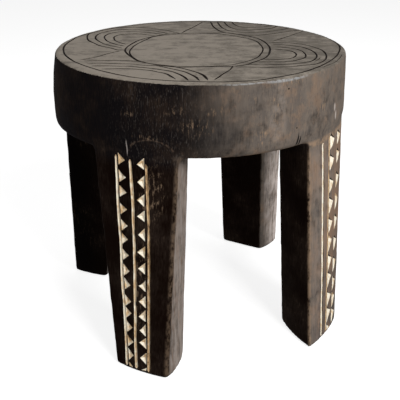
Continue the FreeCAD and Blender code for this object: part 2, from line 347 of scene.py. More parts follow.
@dataclass
class Seat:
    """The thick disc of the seat, bellied and a little wider than deep."""

    rings: tuple[Ring, ...] = (
        Ring(0.0, 0.987, 0.965, -0.053),
        Ring(0.0021, 1.015, 0.981, -0.037),
        Ring(0.0055, 1.034, 0.990, -0.020),
        Ring(0.0166, 1.042, 1.003, -0.014),
        Ring(0.0414, 1.039, 1.006, -0.016),
        Ring(0.0690, 1.029, 1.004, -0.012),
        Ring(0.0920, 1.016, 1.002, -0.005),
        Ring(0.0948, 1.0140, 1.0000, -0.005),
        Ring(0.0960, 1.0060, 0.9920, -0.005),
    )
    outline_points: int = 128

    def build(self) -> Piece:
        """Builds the disc from its lowest ring up.

        Returns:
            The closed disc.
        """
        first = self.rings[0]
        centre = AXIS + Vector((first.drift * SEAT_RADIUS, 0, UNDERSIDE_Z))
        Bench.select()
        bpy.ops.mesh.primitive_circle_add(
            vertices=self.outline_points, radius=SEAT_RADIUS, fill_type="NGON", location=centre
        )
        disc = bpy.context.object
        Bench.select(disc)
        bpy.ops.object.transform_apply(location=True, rotation=True, scale=True)
        with Bench.editing(disc):
            bpy.ops.mesh.select_all(action="SELECT")
            bpy.ops.transform.resize(value=(first.half_width, first.half_depth, 1), center_override=centre)
            for low, high in zip(self.rings, self.rings[1:]):
                shift = Vector(((high.drift - low.drift) * SEAT_RADIUS, 0, high.rise - low.rise))
                bpy.ops.mesh.extrude_region_move(TRANSFORM_OT_translate={"value": shift})
                centre = centre + shift
                growth = (high.half_width / low.half_width, high.half_depth / low.half_depth, 1)
                bpy.ops.transform.resize(value=growth, center_override=centre)
        Bench.tidy(disc)
        return disc


@dataclass(frozen=True)
class LegEnd:
    """A leg's section at its top or its foot, in degrees and metres.

    It has the azimuths and widths of the outer and the inner face, and the depth between them. A foot
    also has its splay beyond the seat, its skew and the bulge of its sides.
    """

    azimuth: float
    width: float
    inner_azimuth: float
    inner_width: float
    depth: float
    splay: float = 0.0
    skew: float = 0.0
    bulge: float = 0.0


@dataclass(frozen=True)
class Leg:
    """One leg, whose faces run straight from its foot to its root in the seat."""

    name: str
    top: LegEnd
    foot: LegEnd
    inset: float = 0.0006
    root: float = 0.036
    corner_rounding: float = 0.004
    sole_rounding: float = 0.005
    columns: int = 4
    rows: int = 8

    @staticmethod
    def half_angle(width: float, radius: float) -> float:
        """Half the angle, in degrees, that a width along the arc takes up at a radius."""
        return math.degrees(width / radius / 2)

    def top_outer(self, across: float) -> Vector:
        """The point of the outer face at the seat's underside, a little inside the seat's side.

        Args:
            across: The place across the face.

        Returns:
            The point.
        """
        ring = Seat().rings[WIDEST_RING]
        half = self.half_angle(self.top.width, SEAT_RADIUS)
        angle = math.radians(self.top.azimuth + half * (across * 2 - 1))
        x = (ring.drift + ring.half_width * math.cos(angle)) * SEAT_RADIUS
        y = ring.half_depth * math.sin(angle) * SEAT_RADIUS
        side = Vector((x, y, 0))
        return AXIS + side - side.normalized() * self.inset + Vector((0, 0, UNDERSIDE_Z))

    def foot_outer(self, across: float) -> Vector:
        """The point of the outer face on the floor.

        Args:
            across: The place across the face.

        Returns:
            The point.
        """
        radius = SEAT_RADIUS + self.foot.splay + self.foot.skew * (across - 0.5)
        half = self.half_angle(self.foot.width, radius)
        return around_axis(radius, self.foot.azimuth + half * (across * 2 - 1), 0)

    def inner(self, end: LegEnd, outer_middle: Vector, across: float) -> Vector:
        """The point of the inner face at the leg's top or foot.

        Args:
            end: The section there.
            outer_middle: The middle point of the outer face there.
            across: The place across the face.

        Returns:
            The point, at the height of the outer one.
        """
        radius = (outer_middle - around_axis(0, 0, outer_middle.z)).length - end.depth
        azimuth = end.inner_azimuth + self.half_angle(end.inner_width, radius) * (across * 2 - 1)
        return around_axis(radius, azimuth, outer_middle.z)

    def face(self, across: float, z: float) -> Vector:
        """The point of the outer face at a place across it and a height."""
        return mix(self.foot_outer(across), self.top_outer(across), z / UNDERSIDE_Z)

    def back(self, across: float, z: float) -> Vector:
        """The point of the inner face.

        Args:
            across: The place across the face.
            z: The height.

        Returns:
            The point.
        """
        top = self.inner(self.top, self.top_outer(0.5), across)
        foot = self.inner(self.foot, self.foot_outer(0.5), across)
        return mix(foot, top, z / UNDERSIDE_Z)

    def face_width(self, z: float) -> float:
        """The outer face's width at a height."""
        return (self.face(1, z) - self.face(0, z)).length

    def face_place(self, across: float, z: float, upwards: Vector | None = None) -> Matrix:
        """The place on the outer face: X to the right, Y along the leg or the way given, Z outwards.

        Args:
            across: The place across the face.
            z: The height.
            upwards: The way of Y, if not straight up the face.

        Returns:
            The place as a matrix.
        """
        here = self.face(across, z)
        sideways = (self.face(across + 0.01, z) - here).normalized()
        upwards = (upwards or self.face(across, z + 0.003) - here).normalized()
        outwards = sideways.cross(upwards).normalized()
        sideways = upwards.cross(outwards).normalized()
        place = Matrix((sideways, upwards, outwards)).transposed().to_4x4()
        place.translation = here
        return place

    def build(self) -> Piece:
        """Builds the leg from a block: corners, curved faces, rounded edges.

        Returns:
            The closed leg, rooted in the seat.
        """
        Bench.select()
        bpy.ops.mesh.primitive_cube_add(size=1, location=(0, 0, 0))
        block = bpy.context.object
        top_z = UNDERSIDE_Z + self.root
        clear_of_block = Vector((0, 0, 9))
        with Bench.editing(block):
            for across in (0, 1):
                for z, share in ((0, -0.5), (top_z, 0.5)):
                    for depth, side in ((-0.5, self.face), (0.5, self.back)):
                        corner = Vector((across - 0.5, depth, share))
                        Bench.move_point(block, corner, side(across, z) + clear_of_block)
            bpy.ops.mesh.select_all(action="SELECT")
            bpy.ops.transform.translate(value=-clear_of_block)
            self._curve_outer_face(block, top_z)
            self._curve_sides(block, top_z)
            self._round_edges(block, top_z)
        Bench.tidy(block)
        return block

    @staticmethod
    def _split(block: Piece, starts: Sequence[Vector], ends: Sequence[Vector], cuts: int) -> None:
        """Subdivides the edges that run from one of some places to its partner.

        Args:
            block: The leg in edit mode.
            starts: Where the edges start.
            ends: Where they end, in the same order.
            cuts: The number of cuts.
        """
        pairs = list(zip(starts, ends))

        def runs(first: Vector, second: Vector) -> bool:
            """Whether an edge runs between a place and its partner, either way round."""
            for start, end in pairs:
                straight = (first - start).length + (second - end).length
                turned = (first - end).length + (second - start).length
                if min(straight, turned) < TOUCHING:
                    return True
            return False

        Bench.pick_edges(block, runs)
        bpy.ops.mesh.subdivide(number_cuts=cuts)

    def _curve_outer_face(self, block: Piece, top_z: float) -> None:
        """Divides the block across, and brings its outer face out to its arc.

        Args:
            block: The leg in edit mode.
            top_z: The height of the leg's root.
        """
        lefts = [self.face(0, 0), self.face(0, top_z), self.back(0, 0), self.back(0, top_z)]
        rights = [self.face(1, 0), self.face(1, top_z), self.back(1, 0), self.back(1, top_z)]
        self._split(block, lefts, rights, self.columns - 1)
        for z in (0, top_z):
            for column in range(1, self.columns):
                across = column / self.columns
                Bench.move_point(block, mix(self.face(0, z), self.face(1, z), across), self.face(across, z))

    def _curve_sides(self, block: Piece, top_z: float) -> None:
        """Divides the block through its depth and its height, and swells its sides near the foot.

        Args:
            block: The leg in edit mode.
            top_z: The height of the leg's root.
        """
        fronts, backs = [], []
        for z in (0, top_z):
            for column in range(self.columns + 1):
                across = column / self.columns
                fronts.append(self.face(across, z))
                backs.append(mix(self.back(0, z), self.back(1, z), across))
        self._split(block, fronts, backs, self.columns - 1)
        swell = (self.face(1, 0) - self.face(0, 0)).normalized() * self.foot.bulge
        for side in (0, 1):
            for column in range(1, self.columns):
                share = column / self.columns
                start = mix(self.face(side, 0), self.back(side, 0), share)
                Bench.move_point(block, start, start + swell * (side * 2 - 1) * 4 * share * (1 - share))
        Bench.pick_edges(block, lambda first, second: abs(first.z - second.z) > top_z / 2)
        bpy.ops.mesh.subdivide(number_cuts=self.rows - 1)

    def _round_edges(self, block: Piece, top_z: float) -> None:
        """Rounds the leg's long corners, and then the edge of its sole.

        Args:
            block: The leg in edit mode.
            top_z: The height of the leg's root; not used.
        """
        near_corner, least_rise, sole_normal = 1e-4, 0.01, -0.7

        def on_corner(place: Vector) -> bool:
            """Whether a place is on one of the leg's four long corners."""
            corners = [side(across, place.z) for side in (self.face, self.back) for across in (0, 1)]
            return any((place - corner).length < near_corner for corner in corners)

        def is_long_corner(first: Vector, second: Vector) -> bool:
            """Whether an edge runs up one of the corners."""
            return abs(first.z - second.z) > least_rise and on_corner(first) and on_corner(second)

        Bench.pick_edges(block, is_long_corner)
        bpy.ops.mesh.bevel(offset=self.corner_rounding, segments=3, affect="EDGES")
        bpy.ops.mesh.select_mode(type="EDGE")
        shape = bmesh.from_edit_mesh(block.data)
        for edge in shape.edges:
            on_floor = all(point.co.z < TOUCHING for point in edge.verts)
            edge.select = on_floor and any(face.normal.z > sole_normal for face in edge.link_faces)
        bmesh.update_edit_mesh(block.data)
        bpy.ops.mesh.bevel(offset=self.sole_rounding, segments=3, affect="EDGES")


@dataclass(frozen=True)
class Stroke:
    """A knife stroke on a flat piece of wood, in millimetres.

    Its ends taper to a share of its width. Its collar stands over the wood. Its width wanders by its
    unevenness, and grows by its swell towards the end.
    """

    path: tuple[Point2, ...]
    width: float
    depth: float
    is_closed: bool = False
    end_share: float = 0.35
    taper: float = 7.0
    collar: float = 2.0
    unevenness: float = 0.0
    swell: float = 0.0

    def _stations(self) -> list[tuple[float, float, float]]:
        """The path's points with their share of the width, and one more near each open end.

        Returns:
            For each point its two places and its share.
        """
        hand = random.Random(str(self.path[0]))
        spread = self.unevenness
        last = len(self.path) - 1
        stations = [
            (x, y, 1.0 + self.swell * (number / last) ** 3 + hand.uniform(-spread, spread))
            for number, (x, y) in enumerate(self.path)
        ]
        if self.is_closed:
            return stations
        for end, beside in ((0, 1), (-1, -2)):
            start, following = Vector(stations[end][:2]), Vector(stations[beside][:2])
            reach = (following - start).length
            inner = mix(start, following, min(self.taper / reach, 0.5))
            width = 1.0 + hand.uniform(-spread, spread)
            stations[end] = (*start, self.end_share)
            stations.insert(1 if end == 0 else len(stations) - 1, (*inner, width))
        return stations

    def profile(self, lining: float = 0.0) -> tuple[Point2, ...]:
        """The outline of the stroke's section, in millimetres.

        Args:
            lining: How far inside the stroke's walls the outline lies.

        Returns:
            The outline's corners, with the surface of the wood at 0.
        """
        half = self.width / 2 - lining
        depth = self.depth - lining * 1.2
        return ((-half, self.collar), (half, self.collar), (half, 0), (0, -depth), (-half, 0))

    def build(self, name: str, lining: float = 0.0) -> Piece:
        """Sweeps the stroke's section along its path, with its ends tapered.

        Args:
            name: The cutter's name.
            lining: How far inside the stroke's walls the swept solid lies.

        Returns:
            The closed cutter, on the plane z = 0, in metres.
        """
        outline = bpy.data.curves.new("section", "CURVE")
        outline.dimensions = "2D"
        corners = outline.splines.new("POLY")
        section = self.profile(lining)
        corners.points.add(len(section) - 1)
        for corner, (x, y) in zip(corners.points, section):
            corner.co = (x * MILLIMETRE, y * MILLIMETRE, 0, 1)
        corners.use_cyclic_u = True
        holder = bpy.data.objects.new("section", outline)
        bpy.context.scene.collection.objects.link(holder)
        sweep = bpy.data.curves.new(name, "CURVE")
        sweep.dimensions = "3D"
        sweep.twist_mode = "Z_UP"
        sweep.bevel_mode = "OBJECT"
        sweep.bevel_object = holder
        sweep.use_fill_caps = True
        sweep.resolution_u = 4
        line = sweep.splines.new("BEZIER")
        stations = self._stations()
        line.bezier_points.add(len(stations) - 1)
        for point, (x, y, share) in zip(line.bezier_points, stations):
            point.co = (x * MILLIMETRE, y * MILLIMETRE, 0)
            point.handle_left_type = point.handle_right_type = "AUTO"
            point.radius = share
        line.use_cyclic_u = self.is_closed
        piece = bpy.data.objects.new(name, sweep)
        bpy.context.scene.collection.objects.link(piece)
        Bench.select(piece)
        bpy.ops.object.convert(target="MESH")
        Bench.discard(holder)
        Bench.tidy(piece)
        return piece


@dataclass
class TopPattern:
    """The pattern incised in the seat's top: rings, nests of arcs, straight lines and two scratches.

    Its places are in millimetres from the seat's axis. The arcs of one nest swell towards their end.
    """

    width: float = 2.7
    depth: float = 1.6
    unevenness: float = 0.16
    swollen_nest: int = 2
    swell: float = 0.45
    nests: tuple[tuple[tuple[Point2, ...], ...], ...] = (
        (
            ((-113, -28), (-123, -16), (-134, -6), (-145, 4), (-153, 17), (-161, 30), (-167, 44),
             (-170, 58), (-172, 73), (-171, 88), (-164, 102), (-155, 114), (-144, 124), (-133, 134),
             (-119, 137), (-104, 137), (-89, 134), (-75, 128), (-63, 120), (-51, 111), (-41, 99),
             (-31, 88)),
            ((-111, -11), (-122, -2), (-133, 8), (-142, 19), (-149, 32), (-155, 46), (-158, 60),
             (-158, 75), (-155, 89), (-148, 102), (-139, 113), (-126, 119), (-111, 118), (-96, 118),
             (-83, 112), (-70, 105), (-59, 96), (-49, 85)),
            ((-108, 0), (-119, 9), (-129, 21), (-137, 34), (-142, 48), (-145, 62), (-144, 77), (-138, 91),
             (-127, 100), (-112, 103), (-97, 102), (-83, 97), (-71, 89), (-58, 81)),
            ((-108, 12), (-117, 23), (-125, 36), (-129, 50), (-130, 65), (-124, 78), (-111, 85),
             (-96, 86), (-83, 79), (-70, 72)),
        ),
        (
            ((98, 26), (113, 23), (127, 21), (141, 15), (152, 5), (160, -8), (166, -21), (168, -36),
             (168, -51), (166, -66), (162, -80), (155, -94), (145, -105), (131, -110), (117, -116),
             (103, -119), (88, -121), (73, -121), (58, -120), (43, -118)),
            ((99, 9), (114, 9), (128, 4), (140, -4), (148, -17), (153, -31), (155, -46), (154, -61),
             (150, -75), (143, -88), (131, -97), (117, -103), (102, -106), (87, -108), (73, -109),
             (58, -107)),
            ((102, -4), (116, -7), (129, -15), (137, -28), (140, -42), (140, -57), (136, -71), (126, -82),
             (114, -90), (99, -93), (84, -93), (69, -93)),
            ((101, -17), (114, -22), (124, -32), (128, -46), (126, -60), (119, -72), (106, -78),
             (92, -81), (78, -81)),
        ),
        (
            ((-152, -88), (-137, -86), (-123, -85), (-108, -85), (-93, -87), (-79, -90), (-68, -99),
             (-56, -109), (-42, -114), (-30, -121), (-18, -131), (-8, -142), (0, -154), (5, -168),
             (8, -182)),
            ((-146, -102), (-131, -100), (-115, -101), (-100, -102), (-85, -105), (-71, -111),
             (-56, -113), (-44, -122), (-32, -132), (-21, -142), (-13, -155), (-6, -169), (-2, -184)),
            ((-138, -115), (-122, -114), (-107, -115), (-92, -116), (-77, -121), (-62, -126), (-49, -133),
             (-36, -142), (-27, -154), (-20, -168), (-15, -183)),
            ((-124, -130), (-110, -129), (-95, -129), (-81, -131), (-67, -135), (-54, -143), (-43, -152),
             (-36, -165), (-30, -178)),
        ),
        (
            ((15, 185), (17, 171), (18, 156), (20, 141), (23, 127), (27, 113), (33, 100), (44, 90),
             (57, 83), (67, 73), (79, 71), (92, 78), (105, 84), (117, 92), (129, 101), (141, 109),
             (154, 117)),
            ((27, 186), (28, 170), (30, 155), (32, 140), (36, 125), (43, 111), (54, 101), (68, 96),
             (83, 98), (98, 102), (111, 109), (124, 118), (135, 128), (141, 136)),
            ((38, 183), (40, 168), (42, 154), (46, 140), (52, 127), (62, 117), (76, 116), (90, 119),
             (103, 124), (114, 133), (122, 146), (126, 151)),
            ((51, 182), (53, 167), (57, 153), (65, 140), (79, 137), (93, 139), (106, 146), (119, 152)),
        ),
    )
    spokes: tuple[tuple[Point2, ...], ...] = (
        ((-30, 93), (-25, 108), (-19, 123), (-13, 138), (-8, 153), (-3, 168), (2, 183)),
        ((-110, -29), (-120, -39), (-129, -51), (-137, -63), (-147, -73), (-158, -83)),
        ((40, -115), (37, -129), (32, -142), (26, -155), (21, -168), (15, -181)),
        ((106, 35), (116, 47), (125, 60), (134, 72), (143, 85), (152, 98), (161, 110)),
    )
    scratches: tuple[tuple[Point2, ...], ...] = (
        ((158, -67), (153, -80), (146, -92)),
        ((190, -50), (185, -65), (179, -80), (172, -95), (162, -108), (152, -121)),
    )
    inner_ring: tuple[Point2, ...] = (
        (-98, -34), (-95, -53), (-88, -73), (-78, -90), (-63, -103), (-44, -112), (-25, -116), (-5, -118),
        (16, -115), (35, -110), (51, -98), (65, -83), (75, -66), (81, -46), (85, -27), (86, -6), (84, 14),
        (80, 34), (70, 51), (56, 66), (40, 77), (23, 88), (3, 88), (-17, 84), (-37, 82), (-56, 75),
        (-72, 63), (-80, 45), (-88, 26), (-94, 7), (-97, -13),
    )
    outer_ring: tuple[Point2, ...] = (
        (-105, -26), (-100, -47), (-92, -67), (-82, -86), (-66, -101), (-48, -113), (-28, -120),
        (-7, -119), (15, -118), (37, -116), (55, -109), (69, -93), (82, -75), (90, -54), (94, -33),
        (96, -12), (95, 10), (91, 32), (84, 52), (71, 70), (55, 84), (36, 95), (15, 93), (-6, 93),
        (-28, 90), (-48, 85), (-66, 72), (-80, 56), (-92, 38), (-99, 17), (-104, -4),
    )
    rim_ring: tuple[Point2, ...] = (
        (-185, 64), (-190, 41), (-193, 17), (-193, -7), (-189, -31), (-183, -53), (-173, -75),
        (-161, -96), (-146, -115), (-130, -132), (-112, -148), (-93, -162), (-72, -173), (-49, -181),
        (-26, -186), (-3, -188), (21, -189), (45, -187), (68, -181), (88, -170), (109, -157), (127, -142),
        (143, -124), (157, -105), (169, -84), (179, -63), (187, -40), (193, -17), (196, 6), (194, 30),
        (189, 53), (182, 75), (171, 96), (159, 115), (145, 133), (112, 154), (65, 178), (10, 189),
        (-45, 184), (-100, 161), (-143, 126), (-170, 92),
    )

    def _arcs(self, first: int) -> list[Stroke]:
        """Every second arc of each nest, so that none touches another.

        Args:
            first: The number of the first arc that is wanted of each nest.

        Returns:
            The arcs.
        """
        return [
            Stroke(
                path, self.width, self.depth, unevenness=self.unevenness,
                swell=self.swell if number == self.swollen_nest else 0.0,
            )
            for number, nest in enumerate(self.nests) for path in nest[first::2]
        ]

    def cutters(self, grime: Material) -> Piece:
        """Builds the pattern's cutter at the seat's top.

        Args:
            grime: The finish of the cut walls.

        Returns:
            One closed cutter.
        """
        spokes = [
            Stroke(path, self.width * 0.85, self.depth, unevenness=self.unevenness) for path in self.spokes
        ]
        scratches = [Stroke(path, 1.2, 0.9, collar=1.2, taper=4.0) for path in self.scratches]
        rings = [
            [Stroke(path, self.width * share, self.depth, is_closed=True, unevenness=unevenness)]
            for path, share, unevenness in (
                (self.inner_ring, 0.9, 0.14), (self.outer_ring, 1.1, 0.14), (self.rim_ring, 1.0, 0.18)
            )
        ]
        place = Matrix.Translation(AXIS + Vector((0, 0, STOOL_HEIGHT - HEWN_SKIN)))
        whole = None
        for strokes in (self._arcs(0), self._arcs(1), spokes, scratches, *rings):
            part = Bench.join("top_cutter", [stroke.build("stroke") for stroke in strokes])
            Bench.paint(part, grime)
            if whole is None:
                whole = part
            else:
                Bench.cut(whole, part, Cut.WITH)
        return Bench.placed(whole, place)


@dataclass(frozen=True)
class BandLine:
    """A whitened line down a leg: its places across the leg's top and foot, and sizes in millimetres.

    Its bends go sideways, from the foot up. It starts a gap below the top, and bare is how much of its
    width the chalk leaves free at one side.
    """

    name: str
    top: float
    foot: float
    width: float
    bends: tuple[float, ...] = (0, 0, 0, 0, 0)
    depth: float = 2.8
    top_gap: float = 0.0
    bare: float = 0.0
    chalk: ChalkState = ChalkState.FRESH


@dataclass(frozen=True)
class NotchRow:
    """A row of whitened triangular notches along a guide down a leg, with sizes in millimetres.

    Its slips move its notches down, from the top one on. Its tips lie lower than the middles of their
    bases by the tip drop, and bare is about how much of a notch the chalk leaves free below.
    """

    name: str
    guide_top: float
    guide_foot: float
    facing: Facing
    pitch: float
    base: float
    top_length: float
    foot_length: float
    depth: float = 3.6
    slips: tuple[float, ...] = ()
    tip_drop: float = 0.0
    deepest: Point2 = (0.42, 0.5)
    bare: float = 0.2
    chalk: ChalkState = ChalkState.FRESH


@dataclass
class ChipBand:
    """The whitened band carved down one leg: its lines and its rows of notches."""

    leg: Leg
    lines: tuple[BandLine, ...]
    rows: tuple[NotchRow, ...]
    seed: int
    top_z: float = 0.308
    foot_z: float = 0.006
    guide_gap: float = 0.0034
    least_base: float = 0.005
    lining: float = 0.45
    line_steps: int = 18
    line_collars: Point2 = (2.4, 3.0)
    pit_collars: Point2 = (0.5, 0.75)
    tremble: float = 0.22
    chance: random.Random = field(default_factory=lambda: random.Random(0), init=False)

    def _line_solid(self, line: BandLine, lining: float) -> Piece:
        """The solid of a line, at its place on the leg.

        Args:
            line: The line.
            lining: How far inside the line's walls the solid lies, in millimetres.

        Returns:
            The closed solid.
        """
        low, high = self.leg.face(line.foot, self.foot_z), self.leg.face(line.top, self.top_z)
        middle_z = mix(self.foot_z, self.top_z, 0.5)
        middle_share = mix(line.foot, line.top, 0.5)
        place = self.leg.face_place(middle_share, middle_z, high - low)
        to_local = place.inverted()
        hand = random.Random(f"{self.seed} {line.name}")
        end = 1.0 - line.top_gap * MILLIMETRE / (self.top_z - self.foot_z)
        path = []
        for step in range(self.line_steps + 1):
            share = end * step / self.line_steps
            spot = share * (len(line.bends) - 1)
            before = min(int(spot), len(line.bends) - 2)
            bend = mix(line.bends[before], line.bends[before + 1], spot - before)
            bend += hand.uniform(-self.tremble, self.tremble)
            here = self.leg.face(mix(line.foot, line.top, share), mix(self.foot_z, self.top_z, share))
            on_face = to_local @ here
            bend += line.bare * lining / self.lining
            path.append((on_face.x / MILLIMETRE + bend, on_face.y / MILLIMETRE))
        place.translation -= place.col[2].xyz * HEWN_SKIN
        collar = self.line_collars[lining > 0]
        stroke = Stroke(tuple(path), line.width, line.depth, collar=collar, taper=3.0, unevenness=0.13)
        return Bench.placed(stroke.build(line.name, lining), place)

    def _notch_places(self, row: NotchRow) -> list[tuple[Vector, Vector, Vector, Vector]]:
        """The corners of each notch of a row on the leg's face, and the way outwards.

        Args:
            row: The row.

        Returns:
            For each notch its low and high base corners, its tip and the outward direction.
        """
        places = []
        pitch, half_base = row.pitch * MILLIMETRE, row.base * MILLIMETRE / 2
        for number in range(int(self.top_z / pitch) + 2):
            slip = row.slips[number] if number < len(row.slips) else 0.0
            middle = self.top_z - pitch * (number + 0.5) - slip * MILLIMETRE
            if middle + half_base > self.foot_z + self.least_base:
                places.append(self._notch_corners(row, middle + half_base, middle))
        return places

    def _notch_corners(
        self, row: NotchRow, top_z: float, middle_z: float
    ) -> tuple[Vector, Vector, Vector, Vector]:
        """The corners of one notch, with the small irregularities of the knife.

        Args:
            row: The notch's row.
            top_z: The height of the upper corner of its base.
            middle_z: The height of the middle of its base.

        Returns:
            Its low and high base corners, its tip and the outward direction.
        """
        low_z = max(middle_z * 2 - top_z, self.foot_z)
        tip_z = max(middle_z - row.tip_drop * MILLIMETRE, self.foot_z)
        length = mix(row.foot_length, row.top_length, tip_z / UNDERSIDE_Z) * MILLIMETRE
        length *= min(1.0, (top_z - tip_z) / (top_z - middle_z))
        offset = self.guide_gap * row.facing.value

        def beside_guide(distance: float, z: float) -> Vector:
            """The point of the leg's face at a distance from the guide and a height."""
            share = mix(row.guide_foot, row.guide_top, z / UNDERSIDE_Z)
            return self.leg.face(share + distance / self.leg.face_width(z), z)

        def slip(amount: float) -> float:
            """A small chance distance, up to the amount in millimetres either way."""
            return self.chance.uniform(-amount, amount) * MILLIMETRE

        low = beside_guide(offset + slip(0.5), low_z + slip(0.8))
        high = beside_guide(offset + slip(0.5), top_z + slip(0.8))
        tip = beside_guide(offset + length * row.facing.value + slip(0.9), tip_z + slip(0.7))
        guide = mix(row.guide_foot, row.guide_top, tip_z / UNDERSIDE_Z)
        outwards = self.leg.face_place(guide, tip_z).col[2].xyz
        sink = outwards * HEWN_SKIN
        return low - sink, high - sink, tip - sink, outwards.copy()

    @staticmethod
    def _pit(collar: float, deepest: Point2) -> Piece:
        """Models the master pit: a three-sided hollow under a flat collar that stands over the wood.

        Args:
            collar: The height of the collar, as a share of the pit's depth.
            deepest: Where the deepest point lies.

        Returns:
            The closed solid: base corners at (0, 0) and (0, 1), tip at (1, 0.5), deepest point at -1.
        """
        Bench.select()
        bpy.ops.mesh.primitive_cone_add(vertices=3, radius1=0, radius2=1, depth=1, location=(0, 0, -0.5))
        pit = bpy.context.object
        Bench.select(pit)
        bpy.ops.object.transform_apply(location=True, rotation=True, scale=True)
        corners = [point.co.copy() for point in pit.data.vertices if point.co.z > -0.5]
        corners.sort(key=lambda corner: -math.atan2(corner.y, corner.x) % math.tau)
        aside_x, aside_y = 8, 9
        spots = ((0, 1), (1, 0.5), (0, 0))
        with Bench.editing(pit):
            for corner, (x, y) in zip(corners, spots):
                Bench.move_point(pit, corner, Vector((aside_x + x, aside_y + y, 0)))
            Bench.pick_points(pit, lambda place: place.z < -0.5)
            bpy.ops.transform.translate(value=(aside_x + deepest[0], aside_y + deepest[1], 0))
            bpy.ops.mesh.select_all(action="SELECT")
            bpy.ops.transform.translate(value=(-aside_x, -aside_y, 0))
            Bench.pick_points(pit, lambda place: place.z > -0.5)
            bpy.ops.mesh.extrude_region_move(TRANSFORM_OT_translate={"value": (0, 0, collar)})
        Bench.tidy(pit)
        return pit

    def _row_solid(self, row: NotchRow, lining: float) -> Piece:
        """The solids of a row of notches, at their places on the leg.

        Args:
            row: The row.
            lining: How far inside the notches' walls the solids lie, in millimetres.

        Returns:
            One object of closed solids.
        """
        self.chance.seed(f"{self.seed} {row.name}")
        pit = self._pit(self.pit_collars[lining > 0], row.deepest)
        solids = []
        for low, high, tip, outwards in self._notch_places(row):
            bare = row.bare * self.chance.uniform(0.3, 1.6)
            deepest = row.depth * MILLIMETRE * min(1.0, (high - low).length / (row.base * MILLIMETRE) + 0.15)
            centre = (low + high + tip) / 3
            inwards = outwards * lining * MILLIMETRE
            shrink = 1 - lining * MILLIMETRE * 2.2 / (tip - (low + high) / 2).length
            upwards = (high - low).normalized() * bare * MILLIMETRE * lining / self.lining
            low, high, tip = (centre + (corner - centre) * shrink + upwards for corner in (low, high, tip))
            along = high - low
            across = tip - low - along / 2
            place = Matrix((across, along, outwards * (deepest - inwards.length * 1.4))).transposed().to_4x4()
            place.translation = low
            solid = Bench.copy(pit, row.name)
            solid.data.transform(place)
            if place.determinant() < 0:
                solid.data.flip_normals()
            solids.append(solid)
        Bench.discard(pit)
        return Bench.join(row.name, solids)

    def solids(self, lining: float) -> dict[str, Piece]:
        """The band's solids by name.

        Args:
            lining: How far inside the cuts' walls the solids lie, in millimetres.

        Returns:
            The solid of each line and each row.
        """
        pieces = {line.name: self._line_solid(line, lining) for line in self.lines}
        pieces.update({row.name: self._row_solid(row, lining) for row in self.rows})
        return pieces

    def cutter(self, bare_cut: Material) -> Piece:
        """One cutter for the whole band.

        Args:
            bare_cut: The finish of the wood inside the cuts.

        Returns:
            The closed cutter.
        """
        pieces = list(self.solids(0).values())
        for piece in pieces:
            Bench.paint(piece, bare_cut)
        return Bench.join(f"{self.leg.name}_cutter", pieces)

    def linings(self, wood: Piece,
                chalks: dict[ChalkState, Material]) -> list[Piece]:
        """The chalk that lines the cuts, flush with the wood.

        Args:
            wood: The wood before the band is cut.
            chalks: The chalk's finish in each of its states.

        Returns:
            The lining of each line and each row, named for the node that it stands for.
        """
        outer, inner = self.solids(0), self.solids(self.lining)
        states = {cut.name: cut.chalk for cut in (*self.lines, *self.rows)}
        pieces = []
        for name, shell in outer.items():
            Bench.cut(shell, inner[name])
            Bench.cut(shell, Bench.copy(wood, "wood_copy"), Cut.KEEP)
            shell.name = f"{self.leg.name}_leg_{name}_chalk_lining"
            shell.data.name = shell.name
            Bench.paint(shell, chalks[states[name]])
            pieces.append(shell)
        return pieces


def facing_band(leg: Leg, seed: int) -> ChipBand:
    """A band with two rows of notches that point at each other between three lines.

    Args:
        leg: The leg that it is carved in.
        seed: The seed of its small irregularities.

    Returns:
        The band.
    """
    return ChipBand(
        leg,
        lines=(
            BandLine(
                "left_line", 0.307, 0.239, 4.0, top_gap=5.5, bare=0.12,
                bends=(-0.6, 0.3, 0.6, 1.4, 1.4, 1.4, 0.8, 0.7, 1.3, 1.7, 1.6, 0.8, 0.6, 0.7, 1.0, 1.2, 1.5),
            ),
            BandLine(
                "middle_line", 0.501, 0.434, 4.3, top_gap=8.0, bare=0.12, chalk=ChalkState.RUBBED,
                bends=(
                    -0.6, -0.6, -0.8, -0.6, 0.1, 0.2, 0.8, 1.3, 1.6, 1.8, 1.5, 1.0, 0.9, 0.8, -0.4, -1.6,
                    -2.6,
                ),
            ),
            BandLine(
                "right_line", 0.670, 0.664, 3.8, top_gap=11.5, chalk=ChalkState.THIN,
                bends=(-0.4, 0.2, 0.4, 0.6, 0.9, 1.2, 1.6, 1.5, 0.7, -0.6, -1.8),
            ),
        ),
        rows=(
            NotchRow(
                "left_notch", 0.307, 0.239, Facing.RIGHT, 21.0, 18.1, 11.9, 8.2, bare=0.7,
                chalk=ChalkState.RUBBED,
                slips=(0.2, 0.7, -0.8, 1.4, 2.6, 0.1, 0.4, 1.3, 0.5, 3.2, 0.0, 0.3, -0.4),
            ),
            NotchRow(
                "right_notch", 0.670, 0.664, Facing.LEFT, 22.6, 18.6, 10.3, 10.3, tip_drop=2.0, bare=0.5,
                slips=(0.0, 0.0, 1.2, 0.4, 2.0, 3.2, 3.4, 5.4, 5.2, 4.4, 2.3, -1.2, -1.2, -1.0),
            ),
        ),
        seed=seed,
    )


